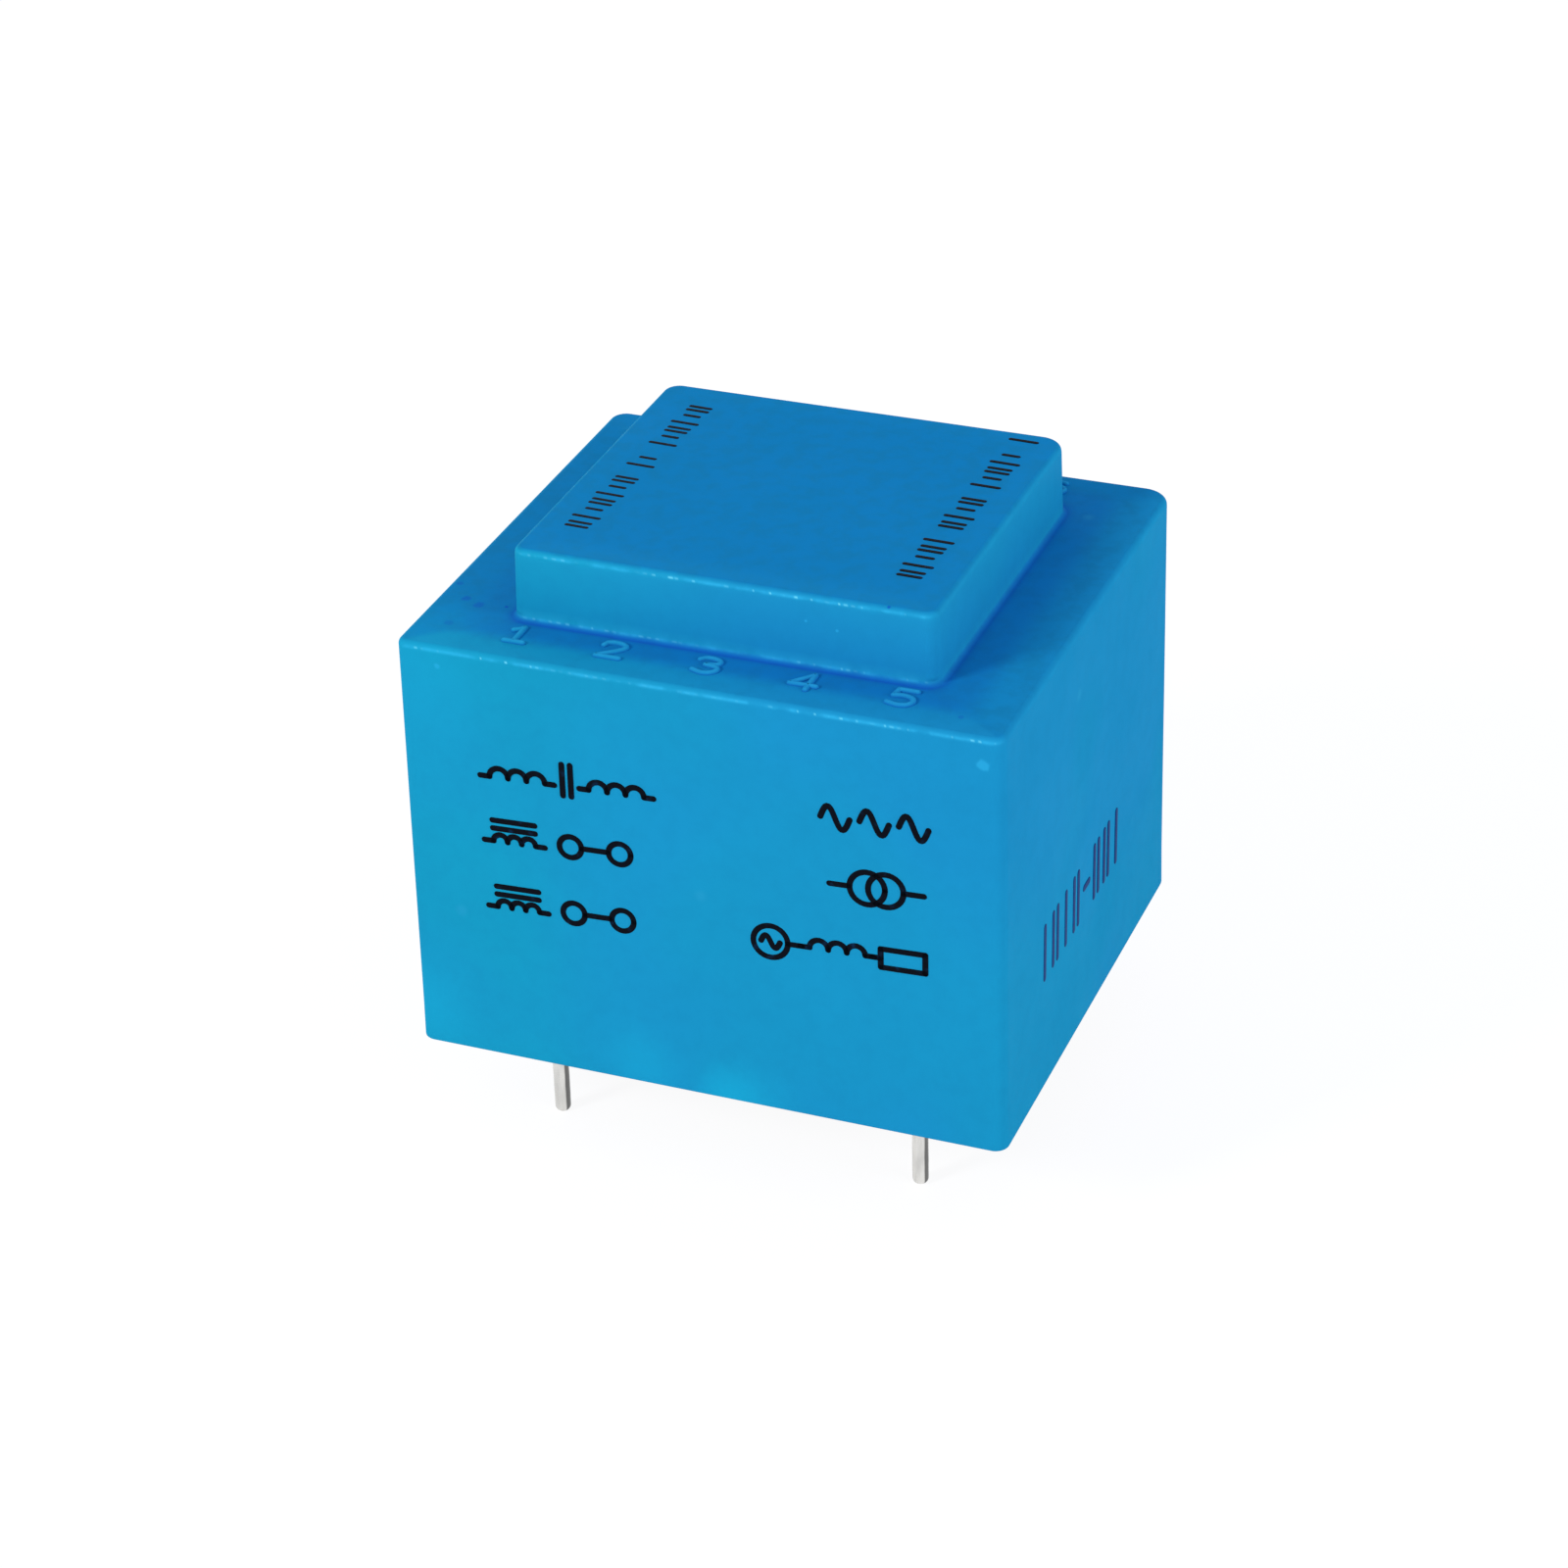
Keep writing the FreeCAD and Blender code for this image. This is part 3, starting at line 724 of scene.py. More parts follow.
def dress(tree, shader, base, rough, height, depth, strength=1.0, metallic=None):
    """Link a shader's colour, roughness and share of metal, and bumps of a depth in metres."""
    tree.links.new(base, shader.inputs["Base Color"])
    tree.links.new(rough, shader.inputs["Roughness"])
    if metallic is not None:
        tree.links.new(metallic, shader.inputs["Metallic"])
    bumps = node(tree, "ShaderNodeBump",
                 {"Height": height, "Distance": depth, "Strength": strength})
    tree.links.new(bumps.outputs[0], shader.inputs["Normal"])


def rgba(value, gain=1.0):
    """A colour property as a socket's value."""
    return tuple(min(1.0, channel * gain) for channel in value) + (1.0,)


def layer(tree, base, mask, share, tone, gain=1.0):
    """A colour laid over another by a share of a mask."""
    return mixed(tree, times(tree, mask, share), base, rgba(tone, gain))


def seen_rays(tree):
    """One where the eye, gloss or glass looks, and zero for light that falls on the object."""
    rays = tree.nodes.new("ShaderNodeLightPath").outputs
    seen = maths(tree, "MAXIMUM", rays["Is Camera Ray"], rays["Is Glossy Ray"])
    return maths(tree, "MAXIMUM", seen, rays["Is Transmission Ray"])


# Darker spots, lighter spots and greener clouds on the cup, in millimetres: place, radius, and how
# strong they are
DARK_SPOTS = ((-13.94, -11.39, 23.3, 0.34, 0.25), (-14.2, -8.8, 23.3, 0.32, 0.45),
           (-13.3, -9.2, 23.3, 0.38, 0.4), (-15.2, -7.4, 23.3, 0.24, 0.35),
           (-11.91, -8.97, 23.3, 0.14, 0.7), (8.6, -9.75, 27.1, 0.12, 0.7),
           (13.1, -12.3, 23.3, 0.2, 0.3))
LIGHT_SPOTS = ((14.74, -14.0, 21.83, 0.4, 0.38), (-13.48, -14.0, 22.25, 0.2, 0.3),
        (4.42, -10.0, 25.75, 0.1, 0.4), (6.02, -10.0, 25.49, 0.1, 0.4),
        (11.0, -9.95, 26.9, 0.16, 0.4))
CLOUDS = ((-3.4, -14.1, 1.2, 3.0, 0.35), (1.2, -14.1, 0.2, 2.6, 0.6), (2.6, -14.1, 0.0, 3.4, 0.3),
          (-15.0, -14.1, 21.5, 6.5, 0.3), (-15.5, -14.1, 2.0, 4.0, 0.4))
GLINT = (0.16, 0.74, 0.84, 1.0)


def plastic_finish(finishes):
    """Satin blue plastic: painted highlights and glints on its edges, painted shade on upward faces
    and at the island's foot, faint clouds, dark and light spots, and dust.
    """
    material, tree, shader, place = new_finish(
        "cup_plastic", Specular_IOR_Level=0.006, IOR=1.5)
    grain = use_effect(tree, "moulded_grain", {"Vector": place})
    masks = {label: node(tree, "ShaderNodeAttribute", attribute_name=label).outputs["Fac"]
             for label in ("highlight_line", "highlight_band", "foot_shade", "upper_shade")}
    cloud = ramp(tree, noise(tree, place, 75.0, 1.0), 0.36, 0.64, 0.0, 0.4)
    across = node(tree, "ShaderNodeSeparateXYZ", {0: place}).outputs[0]
    cloud = maths(tree, "ADD", cloud, ramp(tree, across, 8.0 * MM, -18.0 * MM, 0.0, 0.75),
                  clamp=True)
    base = mixed(tree, cloud, rgba(finishes.plastic), rgba(finishes.plastic_cloud))
    # Painted shade on the faces that look up
    base = layer(tree, base, masks["upper_shade"], 0.9, finishes.plastic_upper)
    base = layer(tree, base, grain["Shade"], 0.12, finishes.plastic, 0.7)
    mottle = ramp(tree, noise(tree, place, 1000.0, 4.0, 0.6), 0.38, 0.68)
    uneven = ramp(tree, masks["upper_shade"], 0.0, 0.5, 0.1, 0.45)
    base = layer(tree, base, mottle, uneven, finishes.plastic, 0.68)
    # Painted highlight band along the edges, and painted shade at the island's foot and round the
    # numbers
    base = layer(tree, base, masks["highlight_band"], 0.08, finishes.plastic_light, 0.8)
    base = layer(tree, base, masks["foot_shade"], 0.65, finishes.plastic_deep)
    # Painted highlight line and painted glints along the edges
    glints = use_effect(tree, "edge_glints", {"Vector": place, "Line": masks["highlight_line"]})
    base = layer(tree, base, glints["Glow"], 0.5, finishes.plastic_light)
    base = mixed(tree, glints["Glints"], base, GLINT)
    for marks, tone, gain, core, fray in ((CLOUDS, finishes.plastic_cloud, 1.25, 0.0, 0.25),
                                          (DARK_SPOTS, finishes.plastic_deep, 1.0, 0.45, 0.9),
                                          (LIGHT_SPOTS, finishes.plastic_light, 1.0, 0.45, 0.9)):
        for x, y, z, radius, strength in marks:
            mark = use_effect(tree, "spot", {"Vector": place, "Place": (x * MM, y * MM, z * MM),
                                             "Radius": radius * MM, "Core": core,
                                             "Fray": fray})["Mask"]
            base = layer(tree, base, mark, strength, tone, gain)
    specks = use_effect(tree, "dust", {"Vector": place, "Scale": 420.0, "Share": 0.035})["Mask"]
    base = layer(tree, base, specks, 0.35, finishes.plastic_light, 0.7)
    dress(tree, shader, base, ramp(tree, grain["Height"], 0.3, 0.7, 0.5, 0.62),
          grain["Height"], 0.012 * MM, 0.6)
    return material


def ink_finish(name, base, faded):
    """Printing ink that is thinner here and there, so the plastic's colour tints it."""
    material, tree, shader, place = new_finish(name, Specular_IOR_Level=0.02, IOR=1.5)
    thin = ramp(tree, noise(tree, place, 1800.0, 3.0), 0.55, 0.8)
    dress(tree, shader, layer(tree, rgba(base), thin, 0.5, faded),
          ramp(tree, thin, 0.0, 1.0, 0.45, 0.6), noise(tree, place, 5000.0), 0.003 * MM, 0.5)
    return material


def tin_finish(finishes):
    """Dull hot-dipped tin: streaks down the pin, greyer stains, and painted shade down one side."""
    material, tree, shader, place = new_finish("tinned_pin", IOR=1.5)
    stretched = node(tree, "ShaderNodeMapping", {"Vector": place, "Scale": (1.0, 1.0, 0.15)})
    streak = noise(tree, stretched.outputs[0], 3200.0, 3.0)
    stain = noise(tree, place, 500.0, 3.0)
    base = mixed(tree, ramp(tree, streak, 0.35, 0.7), rgba(finishes.tin), rgba(finishes.tin, 0.82))
    base = layer(tree, base, ramp(tree, stain, 0.5, 0.7), 0.4, finishes.tin, 0.6)
    # Painted shade down the +X side, its edge broken by the stains
    side = node(tree, "ShaderNodeAttribute", attribute_name="tarnish").outputs["Fac"]
    side = maths(tree, "ADD", side, times(tree, maths(tree, "SUBTRACT", stain, 0.5), 0.5))
    base = mixed(tree, ramp(tree, side, 0.25, 0.75, 0.0, 0.92), base, rgba(finishes.tarnish))
    dress(tree, shader, base, ramp(tree, stain, 0.3, 0.7, 0.24, 0.42),
          maths(tree, "ADD", streak, stain), 0.01 * MM, 0.6,
          ramp(tree, stain, 0.4, 0.9, 1.0, 0.85))
    return material


def resin_finish(finishes):
    """Black casting resin: smooth, softly uneven, with small bubbles and dust."""
    material, tree, shader, place = new_finish("casting_resin", IOR=1.54, Specular_IOR_Level=0.5)
    grain = use_effect(tree, "moulded_grain", {"Vector": place, "Fine Scale": 2500.0,
                                               "Slow Scale": 220.0})
    bubbles = use_effect(tree, "dust", {"Vector": place, "Scale": 900.0, "Share": 0.12})["Mask"]
    base = mixed(tree, grain["Shade"], rgba(finishes.resin), rgba(finishes.resin, 1.7))
    base = layer(tree, base, bubbles, 0.6, (0.05, 0.05, 0.052))
    dress(tree, shader, base, ramp(tree, grain["Shade"], 0.0, 1.0, 0.2, 0.36),
          maths(tree, "SUBTRACT", grain["Height"], bubbles), 0.03 * MM, 0.5)
    return material


def solder_finish(finishes):
    """Solder: bright grey metal with a frosted, slightly lumpy skin."""
    material, tree, shader, place = new_finish("solder", IOR=1.5)
    frost = noise(tree, place, 2600.0, 4.0)
    base = mixed(tree, ramp(tree, frost, 0.35, 0.65), rgba(finishes.solder),
                 rgba(finishes.solder, 0.75))
    dress(tree, shader, base, ramp(tree, frost, 0.3, 0.7, 0.22, 0.4), frost, 0.02 * MM, 0.6,
          ramp(tree, frost, 0.0, 1.0, 1.0, 0.95))
    return material


def bobbin_finish(finishes):
    """Off-white glass-filled plastic with faint flow lines."""
    material, tree, shader, place = new_finish("bobbin_plastic", IOR=1.5, Specular_IOR_Level=0.4)
    grain = use_effect(tree, "moulded_grain", {"Vector": place, "Slow Scale": 300.0})
    base = mixed(tree, grain["Shade"], rgba(finishes.bobbin), rgba(finishes.bobbin, 0.9))
    dress(tree, shader, base, ramp(tree, grain["Height"], 0.3, 0.7, 0.4, 0.55),
          grain["Height"], 0.015 * MM, 0.6)
    return material


def steel_finish(finishes):
    """Silicon steel sheet under thin varnish: each sheet its own grey, with brushed edges."""
    material, tree, shader, place = new_finish("lamination_steel", IOR=1.5)
    height = node(tree, "ShaderNodeSeparateXYZ", {0: place}).outputs[2]
    over_base = maths(tree, "SUBTRACT", height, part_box("e_laminations_front")[0][2])
    sheet = maths(tree, "FLOOR", maths(tree, "DIVIDE", over_base, SHEET_PITCH))
    tone = node(tree, "ShaderNodeTexWhiteNoise", {"W": sheet}, noise_dimensions="1D").outputs[0]
    varnish = noise(tree, place, 350.0, 3.0)
    base = mixed(tree, tone, rgba(finishes.steel), rgba(finishes.steel, 1.5))
    base = layer(tree, base, ramp(tree, varnish, 0.5, 0.7), 0.5, (0.10, 0.065, 0.035))
    dress(tree, shader, base, ramp(tree, varnish, 0.3, 0.7, 0.35, 0.6),
          noise(tree, place, 4000.0), 0.01 * MM, 0.5, ramp(tree, varnish, 0.5, 0.7, 0.9, 0.5))
    return material


def wound_finish(name, base, pitch, metallic, rough, dark):
    """Something wound side by side round the coil's axis: enamelled wire, or tape."""
    material, tree, shader, place = new_finish(name, IOR=1.5, Metallic=metallic)
    turns = use_effect(tree, "turns", {"Vector": place, "Pitch": pitch})
    tone = layer(tree, rgba(base), turns["Shade"], 0.35, base, dark)
    # Painted shade in the grooves between the turns
    tone = mixed(tree, ramp(tree, turns["Height"], 0.35, 0.0, 0.0, 0.7), tone, rgba(base, 0.3))
    gloss = ramp(tree, noise(tree, place, 800.0), 0.3, 0.7, rough, rough + 0.15)
    dress(tree, shader, tone, gloss, turns["Height"], 0.2 * pitch)
    return material


def wire_finish(finishes):
    """Enamelled copper of a single lead, with darker enamel in patches."""
    material, tree, shader, place = new_finish("enamelled_lead", IOR=1.5, Metallic=0.9)
    patch = noise(tree, place, 900.0, 2.0)
    base = mixed(tree, ramp(tree, patch, 0.4, 0.7), rgba(finishes.copper),
                 rgba(finishes.copper, 0.6))
    dress(tree, shader, base, ramp(tree, patch, 0.3, 0.7, 0.25, 0.4), patch, 0.01 * MM, 0.4)
    return material


def coat(names, material):
    """Give solids that stay as they are a better finish."""
    for name in names:
        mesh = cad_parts[name].data
        mesh.materials.clear()
        mesh.materials.append(material)


# Operators: one for each piece or group of like pieces, and one for the stage

class TRANSFORMER_OT_stage(bpy.types.Operator):
    """Set up the camera, the pale floor and the soft studio light"""
    bl_idname = "transformer.stage"
    bl_label = "Stage"

    def execute(self, context):
        stage = context.scene.transformer_stage
        aim = Vector(stage.aim)
        azimuth, elevation, roll = stage.azimuth, stage.elevation, stage.roll
        forward = Vector((-math.sin(azimuth) * math.cos(elevation),
                          math.cos(azimuth) * math.cos(elevation), -math.sin(elevation)))
        level = Vector((math.cos(azimuth), math.sin(azimuth), 0.0))
        upright = level.cross(forward)
        right = level * math.cos(roll) + upright * math.sin(roll)
        up = right.cross(forward)
        turn = Matrix((right, up, -forward)).transposed().to_4x4()
        data = bpy.data.cameras.new("photo_camera")
        data.sensor_width = 36.0
        data.lens = stage.lens
        data.clip_start = 0.005
        data.clip_end = 20.0
        camera = bpy.data.objects.new("photo_camera", data)
        camera.matrix_world = Matrix.Translation(aim - forward * stage.distance) @ turn
        context.scene.collection.objects.link(camera)
        context.scene.camera = camera
        self.add_floor(context, stage)
        self.add_world(context, stage)
        self.add_lamp(context, "key", (-0.335, -0.435, 0.33), 0.14, stage.key_power)
        self.add_lamp(context, "fill", (0.50, -0.16, 0.16), 0.34, stage.fill_power)
        self.add_lamp(context, "rear", (-0.40, 0.46, 0.20), 0.34, stage.rear_power)
        context.scene.view_settings.view_transform = "Standard"
        return {"FINISHED"}

    def add_floor(self, context, stage):
        """Floor under the pin tips: white to the eye and in gloss, but for the object's shadow."""
        half, z = 3.0, CAD_BOX[0][2]
        mesh = bpy.data.meshes.new("floor")
        mesh.from_pydata([(-half, -half, z), (half, -half, z), (half, half, z), (-half, half, z)],
                         [], [(0, 1, 2, 3)])
        material = bpy.data.materials.new("pale_floor")
        material.use_nodes = True
        tree = material.node_tree
        tree.nodes.clear()
        seen = seen_rays(tree)
        tone = mixed(tree, seen, (0.8, 0.8, 0.8, 1.0), (stage.floor_shade,) * 3 + (1.0,))
        paint = node(tree, "ShaderNodeBsdfDiffuse", {"Color": tone})
        glow = node(tree, "ShaderNodeEmission",
                    {"Strength": times(tree, seen, stage.floor_glow)})
        both = node(tree, "ShaderNodeAddShader", {0: paint.outputs[0], 1: glow.outputs[0]})
        output = tree.nodes.new("ShaderNodeOutputMaterial")
        tree.links.new(both.outputs[0], output.inputs["Surface"])
        mesh.materials.append(material)
        floor = bpy.data.objects.new("floor", mesh)
        context.scene.collection.objects.link(floor)

    def add_world(self, context, stage):
        """Soft light from all round that the eye, gloss and glass see as plain white."""
        world = bpy.data.worlds.new("studio")
        world.use_nodes = True
        tree = world.node_tree
        tree.nodes.clear()
        soft = node(tree, "ShaderNodeBackground", {0: rgba(stage.sky_colour), 1: stage.sky})
        white = node(tree, "ShaderNodeBackground", {0: (1.0, 1.0, 1.0, 1.0), 1: 1.0})
        mix = node(tree, "ShaderNodeMixShader",
                   {0: seen_rays(tree), 1: soft.outputs[0], 2: white.outputs[0]})
        output = tree.nodes.new("ShaderNodeOutputWorld")
        tree.links.new(mix.outputs[0], output.inputs["Surface"])
        context.scene.world = world

    def add_lamp(self, context, name, place, size, power):
        """Square soft lamp that looks at the middle of the object."""
        data = bpy.data.lights.new(name, "AREA")
        data.shape = "SQUARE"
        data.size = size
        data.energy = power
        lamp = bpy.data.objects.new(name, data)
        lamp.location = place
        middle = Vector((0.0, 0.0, 12.0 * MM))
        lamp.rotation_euler = (middle - Vector(place)).to_track_quat("-Z", "Y").to_euler()
        context.scene.collection.objects.link(lamp)


class TRANSFORMER_OT_cup(bpy.types.Operator):
    """Make the moulded cup with its ledge and raised island"""
    bl_idname = "transformer.cup"
    bl_label = "Moulded Cup"

    def execute(self, context):
        sizes = context.scene.transformer_cup
        profile, middle_y = cup_profile(sizes)
        rings = profile.rings()
        inner_pole = (0.0, middle_y, CUP_HIGH[2] - sizes.wall)
        outer_pole = (0.0, middle_y, CUP_HIGH[2])
        points, quads, fans = closed_surface(rings, inner_pole, outer_pole)
        points = sunk(points, quads, fans, sizes)
        look = outline_directions()
        # Painted highlights are strongest on the front and weaker on the right; the foot's painted
        # shade is strongest on the front, and the ledge's outer part takes most of the painted
        # shade of upward faces on the left and rear
        front = np.clip(-np.sin(look), 0, 1) ** 3
        right = np.clip(np.cos(look), 0, 1) ** 3
        line_side = np.clip(front + 0.15 * right, 0.1, 1)
        band_side = np.clip(front + 0.5 * right, 0.4, 1)
        foot_side = 0.75 + 0.25 * front
        rim_side = np.clip(LEFT_TONE - (LEFT_TONE - FRONT_TONE) * (front + 0.6 * right),
                           FRONT_TONE, LEFT_TONE)
        line, band, foot, lid, rim = np.concatenate(profile.masks).T[..., None]
        masks = {"highlight_line": line * line_side, "highlight_band": band * band_side,
                 "foot_shade": foot * foot_side, "upper_shade": lid + rim * rim_side}
        attributes = {label: np.concatenate([values.ravel(), [0.0, values[-1, 0]]])
                      for label, values in masks.items()}
        piece = add_piece("cup_shell", (points, quads, fans),
                          plastic_finish(context.scene.transformer_finishes),
                          attributes)
        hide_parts("case")
        return {"FINISHED"}


class TRANSFORMER_OT_numbers(bpy.types.Operator):
    """Raise the pin numbers 1 to 10 on the two ledges"""
    bl_idname = "transformer.numbers"
    bl_label = "Raised Numbers"

    def execute(self, context):
        relief = context.scene.transformer_relief
        ledge = context.scene.transformer_cup.ledge_height
        shift = relief.digit_shift

        def on_ledge(u, v, height):
            return np.stack([u, v, ledge + height], axis=-1)

        beads = []
        for number in range(1, 11):
            front = number <= 5
            steps = number - 3 if front else 8 - number
            scale = 1.0 if front else relief.rear_scale
            width, height = relief.digit_width * scale, relief.digit_height * scale
            row = -relief.front_row if front else relief.rear_row
            paths = word_paths(str(number), steps * PIN_PITCH - shift, row - height / 2,
                               width, height)
            beads += [swept_stroke(path, relief.digit_stroke * scale, relief.digit_rise,
                                   relief.digit_rise, on_ledge) for path in paths]
        surface = joined(beads)
        share = np.clip((surface[0][:, 2] - ledge) / relief.digit_rise, 0, 1)
        # Painted highlight on the numbers' tops, painted shade round their feet, and the front
        # ledge's painted shade of upward faces
        attributes = {"highlight_line": 0.35 * share ** 2, "highlight_band": 4.0 * share ** 2,
                      "foot_shade": 0.2 + 0.6 * (1 - share) ** 2,
                      "upper_shade": np.full_like(share, FRONT_TONE)}
        material = bpy.data.materials["cup_plastic"]
        add_piece("pin_numbers", surface, material, attributes)
        return {"FINISHED"}


class TRANSFORMER_OT_print(bpy.types.Operator):
    """Print the winding signs on the front, and rows of plain dashes on the top and side"""
    bl_idname = "transformer.print"
    bl_label = "Printed Marks"

    def execute(self, context):
        scene = context.scene
        sizes, relief, finishes = (scene.transformer_cup, scene.transformer_relief,
                                   scene.transformer_finishes)
        stroke, rise = relief.print_stroke, relief.print_rise
        sink = sizes.sink + 0.04 * MM
        ledge, draft = sizes.ledge_height, sizes.cup_draft
        front_y, right_x = CUP_HIGH[1] - draft, CUP_HIGH[0] - draft

        def on_front(u, v, height):
            return np.stack([u, -front_y - draft * (1 - v / ledge) - height, v], axis=-1)

        def on_side(u, v, height):
            return np.stack([right_x + draft * (1 - v / ledge) + height, u, v], axis=-1)

        def on_top(u, v, height):
            top = CUP_HIGH[2] - rise
            return np.stack([u, v, top + height], axis=-1)

        black = ink_finish("black_ink", finishes.ink, (0.008, 0.05, 0.12))
        blue = ink_finish("blue_ink", finishes.side_ink, (0.008, 0.13, 0.33))
        for name, paths, width, place, ink in (
                ("front_print", self.front_paths(relief), stroke, on_front, black),
                ("top_print", self.top_paths(), 0.8 * stroke, on_top, black),
                ("side_print", self.side_paths(), 1.25 * stroke, on_side, blue)):
            beads = [flat_bead(path, width, rise, sink, place) for path in paths]
            add_piece(name, joined(beads), ink)
        return {"FINISHED"}

    def front_paths(self, relief):
        """Signs in two blocks of three rows, as x and z on the front wall.

        On the left: two windings with the core between, then twice a winding with its core and
        two terminals on a line. On the right: three waves of alternating current, the two rings
        of a transformer, and a source and a load on a line.
        """
        tall, left = relief.mark_height, -11.5 * MM
        rows = (15.95 * MM, 12.25 * MM, 8.4 * MM)
        paths = self.winding(left, 4.0 * MM, rows[0], tall)
        for place in (-7.05 * MM, -6.6 * MM):
            paths += self.stroke(place, rows[0], place, rows[0] + tall)
        paths += self.winding(-6.15 * MM, 3.95 * MM, rows[0], tall)
        small, large = 0.34 * tall, 0.52 * tall
        for row in rows[1:]:
            middle = row + 0.45 * tall
            paths += self.winding(left, 3.3 * MM, row, tall)
            paths += self.core(left + 0.5 * MM, 2.3 * MM, row, tall)
            paths += self.ring(-6.8, middle, small) + self.level(-6.18, -4.77, middle)
            paths += self.ring(-4.15, middle, small)
        for place in (6.5, 8.5, 10.5):
            paths += self.wave(place, 1.5, rows[0] + 0.5 * tall, 0.36 * tall)
        middle = rows[1] + 0.5 * tall
        paths += self.level(6.9, 7.9, middle) + self.ring(8.85, middle, large)
        paths += self.ring(9.8, middle, large) + self.level(10.75, 11.75, middle)
        middle = rows[2] + 0.5 * tall
        low, high = middle - 0.3 * tall, middle + 0.3 * tall
        paths += self.ring(3.75, middle, large) + self.wave(3.25, 1.0, middle, 0.2 * tall)
        paths += self.level(4.7, 5.45, middle) + self.winding(5.3 * MM, 3.9 * MM, low, tall)
        paths += self.level(9.0, 9.5, middle)
        paths += self.level(9.5, 11.8, low) + self.level(9.5, 11.8, high)
        for place in (9.5 * MM, 11.8 * MM):
            paths += self.stroke(place, low, place, high)
        row_slope = 0.04
        return [path + np.stack([0 * path[:, 0], row_slope * (path[:, 0] - left)], axis=-1)
                for path in paths]

    def winding(self, left, width, base, tall):
        """Half circles side by side between two level leads: the sign for a winding."""
        humps, lead = 3, 0.5 * MM
        hump = (width - 2 * lead) / humps
        turn = np.linspace(math.pi, 0, 12)
        low = base + 0.3 * tall
        paths = []
        for index in range(humps):
            middle = left + lead + (index + 0.5) * hump
            paths.append(np.stack([middle + 0.5 * hump * np.cos(turn),
                                   low + 0.5 * hump * np.sin(turn)], axis=-1))
        paths += self.stroke(left, low, left + lead, low)
        paths += self.stroke(left + width - lead, low, left + width, low)
        return paths

    def core(self, left, width, base, tall):
        """Two level lines over a winding: the sign for an iron core."""
        low, high = base + 0.72 * tall, base + 0.98 * tall
        return (self.stroke(left, low, left + width, low)
                + self.stroke(left, high, left + width, high))

    def stroke(self, u0, v0, u1, v1):
        """One straight stroke."""
        return [smooth_path([(u0, v0), (u1, v1)])]

    def level(self, left, right, v):
        """One level stroke, with its ends in millimetres."""
        return self.stroke(left * MM, v, right * MM, v)

    def ring(self, middle, v, radius):
        """One ring, with its middle in millimetres."""
        turn = np.linspace(0, 2 * math.pi, 33)
        return [np.stack([middle * MM + radius * np.cos(turn), v + radius * np.sin(turn)], axis=-1)]

    def wave(self, left, width, middle, swing):
        """One wave of alternating current: v = middle + swing sin(2 pi share).

        Its left end and its width are in millimetres.
        """
        share = np.linspace(0, 1, 22)
        return [np.stack([left * MM + width * MM * share,
                          middle + swing * np.sin(2 * math.pi * share)], axis=-1)]

    def top_paths(self):
        """Groups of plain dashes along the island's left and right edges, as x and y."""
        rows = (((-8.93 * MM, -6.9 * MM), (-8.24 * MM, 8.25 * MM), (7, 0, 2, 0, 6)),
                ((8.46 * MM, -6.75 * MM), (9.0 * MM, 9.9 * MM), (5, 0, 4, 0, 5, 0, 1)))
        paths = []
        for start, end, groups in rows:
            start, end = np.array(start), np.array(end)
            cells = sum(max(count, 1) for count in groups)
            step = (end - start) / cells
            across = np.array([step[1], -step[0]]) * 0.6
            cell = 0
            for count in groups:
                for index in range(count):
                    place = start + step * (cell + 0.5)
                    for share in ((-0.24, 0.24), (0.0,), (0.0,))[(cell + index) % 3]:
                        reach = across * (1.0, 0.7, 1.25)[(cell + index) % 3]
                        line = [place + step * share - reach, place + step * share + reach]
                        paths.append(smooth_path(line))
                    cell += 1
                cell += 0 if count else 1
        return paths

    def side_paths(self):
        """A stamped row of plain upright strokes in groups on the right wall, as y and z."""
        paths = []
        low, tall, pitch = 6.45 * MM, 2.9 * MM, 1.7 * MM
        dash, single = (-0.3, 0.5, 0.5, 0.5), (0.0, 0.0, 0.1, 1.0)
        pair = (-0.35, 0.0, -0.25, 1.0), (0.35, 0.0, 0.45, 1.0)
        groups = [single], pair, [single], pair, [dash], pair, pair, [single]
        for index, group in enumerate(groups):
            u = -7.75 * MM + index * pitch
            for u0, v0, u1, v1 in group:
                paths += self.stroke(u + u0 * MM, low + v0 * tall, u + u1 * MM, low + v1 * tall)
        return paths


